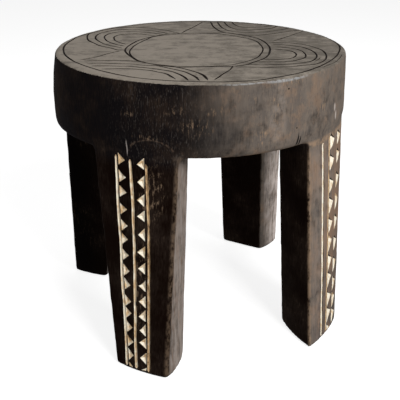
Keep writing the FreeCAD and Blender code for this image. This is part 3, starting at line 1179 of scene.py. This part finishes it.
def marching_band(leg: Leg, seed: int) -> ChipBand:
    """A band with two rows of larger notches that all point the same way, beside two lines.

    Args:
        leg: The leg that it is carved in.
        seed: The seed of its small irregularities.

    Returns:
        The band.
    """
    return ChipBand(
        leg,
        lines=(
            BandLine(
                "left_line", 0.269, 0.341, 6.2, top_gap=8.0, bare=3.2,
                bends=(0, 0, 0, 0, -0.3, -0.6, -1.2, -1.8, -2.4),
            ),
            BandLine("middle_line", 0.398, 0.490, 3.0, top_gap=3.0, chalk=ChalkState.THIN),
        ),
        rows=(
            NotchRow(
                "left_notch", 0.385, 0.481, Facing.RIGHT, 30.0, 27.6, 17.6, 14.9, bare=1.3,
                deepest=(0.40, 0.74),
                slips=(-2.6, -3.6, -1.0, -1.7, -1.8, -3.7, -4.8, -7.2, -6.0, -9.6, -10.4),
            ),
            NotchRow(
                "right_notch", 0.624, 0.675, Facing.RIGHT, 30.0, 27.6, 17.6, 14.9, bare=1.3,
                deepest=(0.40, 0.74),
                slips=(0.0, -4.0, 0.4, 2.7, 3.5, 6.3, 8.8, 10.0, 7.2, 1.3),
            ),
        ),
        seed=seed,
    )


FRONT_LEFT = Leg(
    "front_left",
    top=LegEnd(-113.7, 0.1197, -113.6, 0.0818, 0.0666),
    foot=LegEnd(-110.6, 0.0802, -110.8, 0.0774, 0.0601, splay=0.0365, skew=0.00775, bulge=0.006),
)
FRONT_RIGHT = Leg(
    "front_right",
    top=LegEnd(-29.5, 0.1231, -30.7, 0.0624, 0.0621),
    foot=LegEnd(-35.5, 0.0928, -26.8, 0.0632, 0.0719, splay=0.02825, skew=-0.0035, bulge=0.005),
)
BACK_RIGHT = Leg(
    "back_right",
    top=LegEnd(62.6, 0.1083, 61.3, 0.0855, 0.0608),
    foot=LegEnd(61.55, 0.0941, 62.2, 0.0770, 0.0521, splay=0.016, bulge=0.003),
)
BACK_LEFT = Leg(
    "back_left",
    top=LegEnd(156.5, 0.1117, 157.5, 0.0802, 0.0672),
    foot=LegEnd(155.5, 0.0865, 157.0, 0.0738, 0.0607, splay=0.02425, bulge=0.003),
)


@dataclass
class CarvedLog:
    """The wood of the stool: one log, hewn to a seat on four legs, and then carved."""

    legs: tuple[Leg, ...] = (FRONT_LEFT, FRONT_RIGHT, BACK_RIGHT, BACK_LEFT)
    pattern: TopPattern = field(default_factory=TopPattern)
    mesh_size: float = 0.0034
    hollows: tuple[Point2, ...] = ((0.030, 0.0007), (0.009, 0.0003))

    def hew(self, wood: Material) -> Piece:
        """Hews the seat and the legs as one piece, with the soft unevenness of the adze.

        Args:
            wood: The finish of the wood.

        Returns:
            The body before any carving.
        """
        parts = [Seat().build()] + [leg.build() for leg in self.legs]
        body = Bench.join("stool_body", parts)
        Bench.finish_modifier(body, "REMESH", mode="VOXEL", voxel_size=self.mesh_size, use_smooth_shade=True)
        Bench.finish_modifier(body, "SMOOTH", factor=0.5, iterations=2)
        for size, depth in self.hollows:
            Bench.texture_grain(body, size, depth)
        Bench.paint(body, wood)
        return body

    def carve(self, body: Piece, bands: Sequence[ChipBand], grime: Material,
              bare_cut: Material) -> None:
        """Cuts the pattern of the top and the bands of the legs into the body.

        Args:
            body: The hewn body.
            bands: The bands of the legs.
            grime: The finish inside the pattern of the top.
            bare_cut: The finish of the wood inside the bands' cuts.
        """
        cutters = [self.pattern.cutters(grime)] + [band.cutter(bare_cut) for band in bands]
        Bench.cut(body, Bench.join("all_cutters", cutters))
        Bench.shade(body, WOOD_CREASE)


class Value:
    """A number that varies over a surface, with arithmetic that adds the nodes for it."""

    def __init__(self, socket: Socket) -> None:
        """Wraps a socket."""
        self.socket = socket
        self.tree = socket.id_data

    def _maths(self, operation: str, *values: "Value | float") -> "Value":
        """Adds a Math node.

        Args:
            operation: The node's operation.
            values: Its inputs, in order.

        Returns:
            The node's result.
        """
        node = self.tree.nodes.new("ShaderNodeMath")
        node.operation = operation
        for socket, value in zip(node.inputs, values):
            if isinstance(value, Value):
                self.tree.links.new(value.socket, socket)
            else:
                socket.default_value = value
        return Value(node.outputs[0])

    def __add__(self, other: "Value | float") -> "Value":
        """The sum."""
        return self._maths("ADD", self, other)

    __radd__ = __add__

    def __sub__(self, other: "Value | float") -> "Value":
        """The difference."""
        return self._maths("SUBTRACT", self, other)

    def __rsub__(self, other: float) -> "Value":
        """The difference, the other way round."""
        return self._maths("SUBTRACT", other, self)

    def __mul__(self, other: "Value | float") -> "Value":
        """The product."""
        return self._maths("MULTIPLY", self, other)

    __rmul__ = __mul__

    def __truediv__(self, other: "Value | float") -> "Value":
        """The quotient."""
        return self._maths("DIVIDE", self, other)

    def __pow__(self, other: "Value | float") -> "Value":
        """The power."""
        return self._maths("POWER", self, other)

    def larger(self, other: "Value | float") -> "Value":
        """The larger of two numbers."""
        return self._maths("MAXIMUM", self, other)

    def size(self) -> "Value":
        """The number without its sign."""
        return self._maths("ABSOLUTE", self)

    def turn(self, across: "Value") -> "Value":
        """The angle, in radians, of the direction that goes this far up and so far across."""
        return self._maths("ARCTAN2", self, across)

    def within(self, low: float, high: float) -> "Value":
        """Runs smoothly from 0 at one value to 1 at another.

        Args:
            low: The value that gives 0.
            high: The value that gives 1.

        Returns:
            A number from 0 to 1.
        """
        node = self.tree.nodes.new("ShaderNodeMapRange")
        node.interpolation_type = "SMOOTHSTEP"
        self.tree.links.new(self.socket, node.inputs["Value"])
        node.inputs["From Min"].default_value = low
        node.inputs["From Max"].default_value = high
        return Value(node.outputs["Result"])


Feed = Socket | Value | float | tuple


class Dresser:
    """Builds one node material."""

    def __init__(self, name: str) -> None:
        """Starts an empty material.

        Args:
            name: The material's name.
        """
        self.material = bpy.data.materials.new(name)
        self.material.use_nodes = True
        self.tree = self.material.node_tree
        self.tree.nodes.clear()
        self.output = self.node("ShaderNodeOutputMaterial")
        self.place = self.node("ShaderNodeTexCoord").outputs["Object"]

    def node(
        self, kind: str, settings: dict | None = None, inputs: dict[str | int, Feed] | None = None
    ) -> bpy.types.Node:
        """Adds a node.

        Args:
            kind: The node's type.
            settings: Its settings, which are set first.
            inputs: The values or links of its sockets, by name or number.

        Returns:
            The node.
        """
        node = self.tree.nodes.new(kind)
        for setting, value in (settings or {}).items():
            setattr(node, setting, value)
        for key, value in (inputs or {}).items():
            socket = node.inputs[key]
            if isinstance(value, Value):
                value = value.socket
            if isinstance(value, Socket):
                self.tree.links.new(value, socket)
            elif isinstance(value, tuple) and len(value) == 3 and socket.type == "RGBA":
                socket.default_value = (*value, 1.0)
            else:
                socket.default_value = value
        return node

    def noise(
        self, scale: float | Colour, detail: float = 4.0, roughness: float = 0.55, shift: float = 0.0
    ) -> Value:
        """Noise over the object's place.

        Args:
            scale: Waves in a metre, or along each axis.
            detail: The noise's detail.
            roughness: The noise's roughness.
            shift: Moves the pattern, so that no two noises are alike.

        Returns:
            The noise, from 0 to 1.
        """
        scale = scale if isinstance(scale, tuple) else (scale, scale, scale)
        spread = (shift, shift * 0.7, shift * 1.3)
        where = {"Vector": self.place, "Location": spread, "Scale": scale}
        moved = self.node("ShaderNodeMapping", inputs=where)
        waves = {"Vector": moved.outputs[0], "Scale": 1.0, "Detail": detail, "Roughness": roughness}
        return Value(self.node("ShaderNodeTexNoise", inputs=waves).outputs[0])

    def blend(self, share: Feed, low: Feed, high: Feed) -> Socket:
        """A colour between two colours.

        Args:
            share: How much of the second colour there is.
            low: The first colour.
            high: The second colour.

        Returns:
            The colour.
        """
        node = self.node("ShaderNodeMix", {"data_type": "RGBA"}, {0: share, 6: low, 7: high})
        return node.outputs[2]

    def parts(self) -> tuple[Value, Value, Value]:
        """The object's place as three numbers."""
        node = self.node("ShaderNodeSeparateXYZ", inputs={0: self.place})
        return tuple(Value(socket) for socket in node.outputs)

    def facing(self) -> tuple[Value, Value, Value]:
        """The way that the surface faces.

        Returns:
            Its three parts.
        """
        normal = self.node("ShaderNodeTexCoord").outputs["Normal"]
        node = self.node("ShaderNodeSeparateXYZ", inputs={0: normal})
        return tuple(Value(socket) for socket in node.outputs)

    @staticmethod
    def spot(across: Value, up: Value, middle: Point2, half: Point2) -> Value:
        """A soft-edged oval spot.

        Args:
            across: The place across.
            up: The place upwards.
            middle: The spot's middle.
            half: Its half sizes.

        Returns:
            1 in the spot's middle and 0 outside it.
        """
        wide = (across - middle[0]) / half[0]
        high = (up - middle[1]) / half[1]
        return 1.0 - (wide * wide + high * high).within(0.1, 1.0)

    def relief(self, height: Value, depth: float, under: Socket | None = None) -> Socket:
        """A bumped normal.

        Args:
            height: The height, from 0 to 1.
            depth: The depth that it stands for, in metres.
            under: A normal that is bumped further.

        Returns:
            The normal.
        """
        inputs: dict[str | int, Feed] = {"Height": height, "Distance": depth, "Strength": 1.0}
        if under is not None:
            inputs["Normal"] = under
        return self.node("ShaderNodeBump", inputs=inputs).outputs[0]

    def finish(self, **inputs: Feed) -> Material:
        """Closes the material with its surface shader.

        Args:
            inputs: The shader's sockets, with a low line for each space.

        Returns:
            The material.
        """
        named = {key.replace("_", " "): value for key, value in inputs.items()}
        shader = self.node("ShaderNodeBsdfPrincipled", inputs=named)
        self.tree.links.new(shader.outputs[0], self.output.inputs["Surface"])
        return self.material


@dataclass(frozen=True)
class OldWood:
    """Blackened hardwood, worn grey where the hands reach it. Its colour also holds painted light and shade:
    paler and greyer on faces that turn to the right, a painted sheen on the top, painted shade on the back
    left leg and a painted highlight along the rim.

    Its spots and marks are places on the seat's side, in metres: along it from +X, and up, with half
    sizes. Its edges are the worn upright edges of legs: foot, top, width and strength.
    """

    edges: tuple[tuple[Vector, Vector, float, float], ...] = ()
    name: str = "old_wood"
    patina: Colour = (0.0058, 0.0048, 0.0054)
    leg_patina: Colour = (0.0052, 0.0023, 0.0014)
    heart: Colour = (0.022, 0.0145, 0.0110)
    # Grey: worn wood on the seat side, and painted light on the legs' right-facing faces.
    grey: Colour = (0.158, 0.130, 0.108)
    slate: Colour = (0.058, 0.056, 0.058)
    brown: Colour = (0.230, 0.155, 0.108)
    # Pale: the painted sheen and light on the legs' right-facing faces, and also the nicks.
    pale: Colour = (0.740, 0.650, 0.600)
    # Leg brown: grain shown on the legs' painted lit faces.
    leg_brown: Colour = (0.250, 0.152, 0.096)
    dash: Colour = (0.080, 0.068, 0.060)
    # Nearly black: painted shade on the back left leg.
    soot: Colour = (0.0012, 0.0007, 0.0006)
    tan: Colour = (0.300, 0.205, 0.135)
    # The top's greys: partly dust and wear, partly painted sheen.
    top_dark: Colour = (0.112, 0.096, 0.078)
    top_light: Colour = (0.255, 0.222, 0.184)
    smudge: Colour = (0.070, 0.060, 0.050)
    # Cool pale: the painted highlight along the rim.
    polished: Colour = (0.420, 0.440, 0.450)
    worn_spots: tuple[tuple[Point2, Point2], ...] = (
        ((-0.347, 0.367), (0.020, 0.008)),
        ((-0.297, 0.367), (0.026, 0.008)),
        ((-0.405, 0.359), (0.011, 0.006)),
        ((-0.380, 0.331), (0.024, 0.004)),
        ((-0.253, 0.380), (0.008, 0.014)),
        ((-0.222, 0.362), (0.008, 0.022)),
        ((-0.140, 0.352), (0.011, 0.012)),
        ((-0.230, 0.330), (0.030, 0.014)),
        ((-0.205, 0.392), (0.030, 0.006)),
        ((-0.320, 0.345), (0.030, 0.016)),
        ((-0.375, 0.260), (0.024, 0.050)),
        ((-0.388, 0.130), (0.012, 0.090)),
    )
    cracks: tuple[tuple[Point2, Point2], ...] = (
        ((-0.1840, 0.3160), (0.0018, 0.0135)),
        ((-0.1800, 0.3140), (0.0015, 0.0105)),
        ((-0.2038, 0.3860), (0.0016, 0.0016)),
        ((-0.1880, 0.3340), (0.0012, 0.0015)),
    )
    nicks: tuple[tuple[Point2, Point2], ...] = (
        ((-0.1045, 0.3420), (0.0030, 0.0070)),
        ((-0.1000, 0.3300), (0.0030, 0.0080)),
        ((-0.4080, 0.3145), (0.0010, 0.0130)),
    )
    # Painted highlights along the rim, where its edge would reflect the light.
    polish: tuple[tuple[Point2, Point2], ...] = (
        ((-0.2060, 0.3975), (0.0420, 0.0031)),
        ((-0.2620, 0.3981), (0.0360, 0.0020)),
    )

    def build(self) -> Material:
        """Builds the finish.

        Returns:
            The material.
        """
        dresser = Dresser(self.name)
        x, y, z = dresser.parts()
        x, y = x - AXIS.x, y - AXIS.y
        fibres = dresser.noise((620, 620, 75), detail=5, roughness=0.66)
        streaks = dresser.noise((210, 210, 36), detail=5, roughness=0.6, shift=3.1)
        patches = dresser.noise(17, detail=4, roughness=0.6, shift=7.7)
        mottle = dresser.noise(60, detail=5, roughness=0.62, shift=1.9)
        _, _, upwards = dresser.facing()
        on_top = z.within(STOOL_HEIGHT - 0.0060, STOOL_HEIGHT - 0.0040) * upwards.within(0.62, 0.86)
        side = self._side(dresser, (x, y, z), fibres, streaks, (patches, mottle))
        top = self._top(dresser, (x, y), patches, mottle)
        normal = dresser.relief(fibres * (1.0 - on_top * 0.8), 0.00022)
        normal = dresser.relief(mottle * 0.7 + streaks * 0.3, 0.0007, normal)
        return dresser.finish(
            Base_Color=dresser.blend(on_top, side, top),
            Roughness=0.66 - on_top * 0.18 + mottle * 0.25 + fibres * 0.05,
            Specular_IOR_Level=0.012,
            Coat_Weight=on_top * 0.10,
            Coat_Roughness=0.38,
            Normal=normal,
        )

    def _side(self, dresser: Dresser, place: tuple[Value, Value, Value], fibres: Value, streaks: Value,
              wears: tuple[Value, Value]) -> Socket:
        """The colour of the seat's side and the legs.

        Args:
            dresser: The material's builder.
            place: The place from the seat's axis.
            fibres: The finest grain.
            streaks: The coarser grain.
            wears: The uneven wear, wide and fine.

        Returns:
            The colour.
        """
        x, y, z = place
        patches, mottle = wears
        to_right, _, _ = dresser.facing()
        along = y.turn(x) * SEAT_RADIUS
        below_seat = 1.0 - z.within(UNDERSIDE_Z - 0.020, UNDERSIDE_Z + 0.004)
        # Lighter to the right of the seat and on faces that turn to the right: partly real wear, partly
        # painted light from the right. The grey, the slate and brown blotches, the brighter scratches and the
        # tan lower edge that follow this mask are partly painted light too.
        wear = (x + (patches - 0.5) * 0.10 + (streaks - 0.5) * 0.05).within(-0.055, 0.095)
        wear = wear * to_right.within(-0.25, 0.30)
        # Painted light and sheen: leg faces that turn to the right are painted paler and greyer, with brown
        # grain on the front right leg.
        leg_painted_light = (to_right + (patches - 0.5) * 0.3).within(0.62, 0.92) * below_seat
        dark = dresser.blend(below_seat, self.patina, self.leg_patina)
        colour = dresser.blend((fibres * 0.45 + patches * 0.75).within(0.50, 0.80), dark, self.heart)
        grain = fibres * 0.16 + streaks * 0.14 + patches * 0.3 + mottle * 0.4
        # Grey where the seat side is worn and painted lit, and on the legs' painted lit faces.
        worn = wear.larger(leg_painted_light) * grain.within(0.28, 0.53)
        colour = dresser.blend(worn, colour, self.grey)
        blotches = dresser.noise((34, 34, 26), detail=5, roughness=0.66, shift=5.5)
        # Slate and brown blotches only where the seat side is worn and painted lit.
        seat_wear_and_light = wear * (1.0 - leg_painted_light)
        colour = dresser.blend(blotches.within(0.50, 0.66) * seat_wear_and_light * 0.42, colour, self.slate)
        colour = dresser.blend((1.0 - blotches).within(0.50, 0.64) * seat_wear_and_light * 0.60, colour, self.brown)
        on_front_right = (x - y * 0.5).within(0.10, 0.15) * leg_painted_light
        leg_grain = dresser.noise((300, 300, 15), detail=6, roughness=0.68, shift=12.5)
        for middle, half, strength, tint in (
            ((-0.192, 0.355), (0.020, 0.042), 0.40, self.slate),
            ((-0.217, 0.355), (0.016, 0.050), 0.08, self.pale),
        ):
            stain = dresser.spot(along, z, middle, half) * mottle.within(0.36, 0.60)
            colour = dresser.blend(stain * strength, colour, tint)
        # Painted sheen and light: the legs' right-facing faces are painted pale, most on the back right leg;
        # the front right leg's are painted brown instead.
        pale = leg_painted_light * (y * 2.0 - z * 0.5 + 0.80).within(0.0, 1.0)
        pale = pale * (mottle * 0.3 + leg_grain * 0.7).within(0.39, 0.55)
        colour = dresser.blend(pale * (1.0 - on_front_right), colour, self.pale)
        deep_grain = dresser.noise((420, 420, 24), detail=5, roughness=0.7, shift=14.5).within(0.50, 0.62)
        colour = dresser.blend(deep_grain * leg_painted_light * (1.0 - on_front_right) * 0.55, colour, self.leg_brown)
        brown = (leg_grain * 0.6 + (1.0 - blotches) * 0.4).within(0.40, 0.56) * on_front_right
        colour = dresser.blend(brown * 0.75, colour, self.leg_brown)
        grimy_foot = (1.0 - z.within(0.03, 0.19)) * on_front_right * blotches.within(0.34, 0.54)
        colour = dresser.blend(grimy_foot * 0.72, colour, self.slate)
        # Painted shade: the back left leg, in the shade under the seat, is painted nearly black.
        back_left_shade = (y - x).within(0.15, 0.24) * below_seat
        colour = dresser.blend(back_left_shade, colour, self.soot)
        spots = (dresser.spot(along, z, middle, half) for middle, half in self.worn_spots)
        spotted = reduce(Value.larger, spots)
        scratched = (patches.within(0.50, 0.66) * 0.35 + wear * 0.16).larger(spotted)
        flecks = dresser.noise((250, 250, 110), detail=4, roughness=0.7, shift=6.1)
        scratches = (flecks * 0.55 + fibres * 0.45).within(0.515, 0.62) * scratched * (1.0 - leg_painted_light * 0.6)
        # Scratches are tan where the side is worn and painted lit, and dimmer elsewhere.
        dim_tan = dresser.blend(wear.larger(0.26).larger(spotted * 0.55), self.heart, self.tan)
        colour = dresser.blend(scratches, colour, dim_tan)
        dashes = dresser.noise((900, 900, 150), detail=3, roughness=0.6, shift=9.4).within(0.56, 0.68)
        dashes = dashes * (x + 0.13).within(0.0, 0.05) * (1.0 - below_seat)
        colour = dresser.blend(dashes * 0.6, colour, self.dash)
        lower_edge = 1.0 - (z - UNDERSIDE_Z).size().within(0.0012, 0.0058)
        # The seat's lower edge is tan on the worn and painted lit faces that turn to the right.
        tan_edge = lower_edge * wear.larger(0.16) * to_right.within(-0.35, 0.15)
        tan_edge = tan_edge * (flecks + mottle).within(0.80, 1.05) * 0.8
        for foot, top, width, strength in self.edges:
            worn_through = (grain * 0.5 + flecks * 0.5).within(0.42, 0.56) * strength
            tan_edge = tan_edge.larger(self._near_edge(place, foot, top, width) * below_seat * worn_through)
        colour = dresser.blend(tan_edge, colour, self.tan)
        return self._mark(dresser, colour, along, z, flecks)

    @staticmethod
    def _near_edge(place: tuple[Value, Value, Value], foot: Vector, top: Vector, width: float) -> Value:
        """How near a point is to an upright edge of a leg.

        Args:
            place: The place from the seat's axis.
            foot: The edge's lower end.
            top: Its upper end, at the seat's underside.
            width: The width of the wear.

        Returns:
            1 on the edge and 0 at the wear's width from it.
        """
        x, y, z = place
        share = z / UNDERSIDE_Z
        away_x = x - (share * (top.x - foot.x) + (foot.x - AXIS.x))
        away_y = y - (share * (top.y - foot.y) + (foot.y - AXIS.y))
        return 1.0 - ((away_x ** 2 + away_y ** 2) ** 0.5).within(width * 0.35, width)

    def _mark(self, dresser: Dresser, colour: Socket, along: Value, z: Value,
              flecks: Value) -> Socket:
        """Adds the single marks on the seat's side: cracks, nicks, the arc of an adze and a painted highlight
        along the rim.

        Args:
            dresser: The material's builder.
            colour: The colour without them.
            along: The place along the seat's side.
            z: The height.
            flecks: The unevenness of the marks.

        Returns:
            The colour.
        """
        # Painted highlight: a cool pale streak along the rim's edge.
        for middle, half in self.polish:
            shine = dresser.spot(along, z, middle, half) * flecks.within(0.30, 0.56)
            colour = dresser.blend(shine * 0.50, colour, self.polished)
        wide, high = (along + 0.376) / 0.028, (z - 0.312) / 0.0160
        reach = (wide * wide + high * high) ** 0.5
        arc = reach.within(0.91, 0.99) * (1.0 - reach.within(1.01, 1.10)) * z.within(0.308, 0.316)
        colour = dresser.blend(arc * flecks.within(0.42, 0.60) * 0.28, colour, self.brown)
        for middle, half in self.nicks:
            colour = dresser.blend(dresser.spot(along, z, middle, half) * 0.45, colour, self.pale)
        for middle, half in self.cracks:
            colour = dresser.blend(dresser.spot(along, z, middle, half), colour, self.patina)
        return colour

    def _top(self, dresser: Dresser, place: tuple[Value, Value], patches: Value, mottle: Value) -> Socket:
        """The colour of the seat's top, a little lighter in its middle disc and at the front left. Its grey
        is partly dust and wear and partly painted sheen.

        Args:
            dresser: The material's builder.
            place: The place from the seat's axis.
            patches: The uneven wear.
            mottle: The finer stains.

        Returns:
            The colour.
        """
        x, y = place
        stains = dresser.noise((34, 60, 34), detail=6, roughness=0.68, shift=11.3)
        pits = dresser.noise(420, detail=3, roughness=0.7, shift=2.2)
        disc = 1.0 - (((x + 0.005) / 0.094) ** 2 + ((y + 0.010) / 0.100) ** 2).within(0.90, 1.0)
        light = 0.50 + disc * 0.16 - x * 1.5 - y * 0.5
        light = light + (stains - 0.5) * 2.8 + (mottle - 0.5) * 1.3 + (pits - 0.5) * 0.9
        light = light + dresser.spot(x, y, (-0.070, -0.140), (0.090, 0.060)) * 0.30
        colour = dresser.blend(light.within(0.0, 1.0), self.top_dark, self.top_light)
        smudges = (stains * 0.6 + patches * 0.4).within(0.54, 0.66) * 0.6
        return dresser.blend(smudges, colour, self.smudge)


@dataclass(frozen=True)
class CutWood:
    """Wood inside a cut, dark with wax and dirt."""

    name: str
    colour: Colour = (0.006, 0.004, 0.003)
    pale: Colour = (0.022, 0.014, 0.010)

    def build(self) -> Material:
        """Builds the finish.

        Returns:
            The material.
        """
        dresser = Dresser(self.name)
        specks = dresser.noise(400, detail=4)
        colour = dresser.blend(specks.within(0.4, 0.7), self.colour, self.pale)
        return dresser.finish(
            Base_Color=colour, Roughness=0.8, Specular_IOR_Level=0.1, Normal=dresser.relief(specks, 0.0003)
        )


@dataclass(frozen=True)
class ChalkPaste:
    """White paste rubbed into the cuts, worn to tan where it is thin, and a little creamier where it faces
    down, which is painted shade.
    """

    name: str
    white: Colour = (0.95, 0.88, 0.73)
    cream: Colour = (0.68, 0.47, 0.25)
    thin: Colour = (0.20, 0.115, 0.060)
    wear: float = 0.0

    def build(self) -> Material:
        """Builds the finish.

        Returns:
            The material.
        """
        dresser = Dresser(self.name)
        smears = dresser.noise((260, 260, 90), detail=6, roughness=0.7)
        clouds = dresser.noise(80, detail=3, shift=4.4)
        cracks = dresser.noise((700, 700, 260), detail=3, roughness=0.7, shift=8.8)
        _, _, upwards = dresser.facing()
        # Chalk that faces down is painted a little creamier: painted shade.
        shade = smears * 0.7 + clouds * 0.3 - upwards * 0.10 + self.wear
        colour = dresser.blend(shade.within(0.42, 0.62), self.white, self.cream)
        colour = dresser.blend((shade * 0.8 + cracks * 0.25).within(0.60, 0.72), colour, self.thin)
        normal = dresser.relief(smears * 0.6 + cracks * 0.4, 0.0005)
        return dresser.finish(Base_Color=colour, Roughness=0.9, Specular_IOR_Level=0.2, Normal=normal)


def seen_directly(rays: bpy.types.Node) -> Value:
    """1 where the room is seen by the camera, in gloss or through glass, and 0 where it lights things."""
    seen, *others = (Value(rays.outputs[f"Is {kind} Ray"]) for kind in ("Camera", "Glossy", "Transmission"))
    return reduce(Value.larger, others, seen)


@dataclass(frozen=True)
class Lamp:
    """A square lamp that points at the stool, with its width in metres and its power in watts."""

    name: str
    place: tuple[float, float, float]
    width: float
    power: float
    aim: tuple[float, float, float] = (0, 0, 0.2)

    def hang(self) -> None:
        """Hangs the lamp."""
        light = bpy.data.lights.new(self.name, "AREA")
        light.shape = "SQUARE"
        light.size = self.width
        light.energy = self.power
        holder = bpy.data.objects.new(self.name, light)
        holder.location = self.place
        towards = Vector(self.aim) - Vector(self.place)
        holder.rotation_euler = towards.to_track_quat("-Z", "Y").to_euler()
        bpy.context.scene.collection.objects.link(holder)


@dataclass
class Studio:
    """The pale floor, the soft lights and the camera."""

    lamps: tuple[Lamp, ...] = (
        Lamp("right_window", (1.05, -1.50, 1.52), 0.9, 46),
        Lamp("top_softbox", (0.25, 0.75, 2.2), 1.4, 11),
        Lamp("left_fill", (-1.8, -1.4, 1.2), 1.6, 9),
    )
    camera_place: Vector = field(default_factory=lambda: Vector((0.004, -0.9516, 0.610)))
    tilt: float = 25.069
    turn: float = -0.10
    lens: float = 61.2
    sensor: float = 36.0
    floor_size: float = 12.0
    floor_grey: float = 0.50
    floor_glow: float = 0.84
    room_light: float = 0.10

    def floor(self) -> Piece:
        """Lays the floor: white to the camera, with the stool's shadow on it.

        Returns:
            The floor.
        """
        Bench.select()
        bpy.ops.mesh.primitive_plane_add(size=self.floor_size, location=(0, 0, 0))
        floor = bpy.context.object
        floor.name = "studio_floor"
        dresser = Dresser("studio_floor")
        glowing = seen_directly(dresser.node("ShaderNodeLightPath")) * self.floor_glow
        plain = dresser.node("ShaderNodeBsdfDiffuse", inputs={"Color": (self.floor_grey,) * 3})
        glow = dresser.node("ShaderNodeEmission", inputs={"Color": (1.0, 1.0, 1.0), "Strength": glowing})
        both = dresser.node("ShaderNodeAddShader", inputs={0: plain.outputs[0], 1: glow.outputs[0]})
        dresser.tree.links.new(both.outputs[0], dresser.output.inputs["Surface"])
        floor.data.materials.append(dresser.material)
        return floor

    def lights(self) -> None:
        """Hangs the lamps and sets the world, which is white to the camera and dim as a light."""
        for lamp in self.lamps:
            lamp.hang()
        world = bpy.context.scene.world or bpy.data.worlds.new("studio_world")
        bpy.context.scene.world = world
        world.use_nodes = True
        tree = world.node_tree
        tree.nodes.clear()
        seen = seen_directly(tree.nodes.new("ShaderNodeLightPath"))
        strength = seen * (1.0 - self.room_light) + self.room_light
        backdrop = tree.nodes.new("ShaderNodeBackground")
        tree.links.new(strength.socket, backdrop.inputs["Strength"])
        output = tree.nodes.new("ShaderNodeOutputWorld")
        tree.links.new(backdrop.outputs[0], output.inputs["Surface"])

    def camera(self) -> None:
        """Sets the camera at the photograph's angle."""
        lens = bpy.data.cameras.new("photo_camera")
        lens.lens = self.lens
        lens.sensor_width = self.sensor
        lens.clip_start = 0.05
        holder = bpy.data.objects.new("photo_camera", lens)
        holder.location = self.camera_place
        holder.rotation_euler = (math.radians(90 - self.tilt), 0, math.radians(-self.turn))
        bpy.context.scene.collection.objects.link(holder)
        bpy.context.scene.camera = holder

    def build(self) -> None:
        """Sets up the whole studio."""
        self.camera()
        self.floor()
        self.lights()
        bpy.context.scene.view_settings.view_transform = "Standard"


def adopt(piece: Piece, node: str) -> None:
    """Makes a piece ride with the stool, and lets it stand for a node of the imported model.

    Args:
        piece: The piece.
        node: The node that it stands for.
    """
    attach(piece, ROOT_BODY)
    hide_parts(node)
    LOG.info("%s: %d faces, stands for %s", piece.name, len(piece.data.polygons), node)


def main() -> None:
    """Builds the studio and every piece of the stool."""
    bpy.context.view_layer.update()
    Studio().build()
    worn_edges = tuple(
        (leg.foot_outer(side), leg.top_outer(side), width, strength)
        for leg, side, width, strength in (
            (FRONT_RIGHT, 0, 0.0065, 0.75), (FRONT_LEFT, 1, 0.0070, 0.30), (BACK_RIGHT, 1, 0.0040, 0.40)
        )
    )
    wood = OldWood(edges=worn_edges).build()
    chalks = {
        state: ChalkPaste(f"{state.name.lower()}_chalk_paste", wear=state.value).build()
        for state in ChalkState
    }
    grime, bare_cut = CutWood("top_grime").build(), CutWood("bare_cut").build()
    log = CarvedLog()
    body = log.hew(wood)
    LOG.info("hewn body: %d faces", len(body.data.polygons))
    bands = (
        facing_band(FRONT_LEFT, 11),
        marching_band(FRONT_RIGHT, 23),
        facing_band(BACK_RIGHT, 37),
        marching_band(BACK_LEFT, 41),
    )
    for band in bands:
        for lining in band.linings(body, chalks):
            Bench.shade(lining, CHALK_CREASE)
            adopt(lining, lining.name.removesuffix("_lining"))
    log.carve(body, bands, grime, bare_cut)
    adopt(body, "carved_body")


if __name__ == "__main__":
    logging.basicConfig(level=logging.INFO, format="%(name)s %(message)s")
    main()
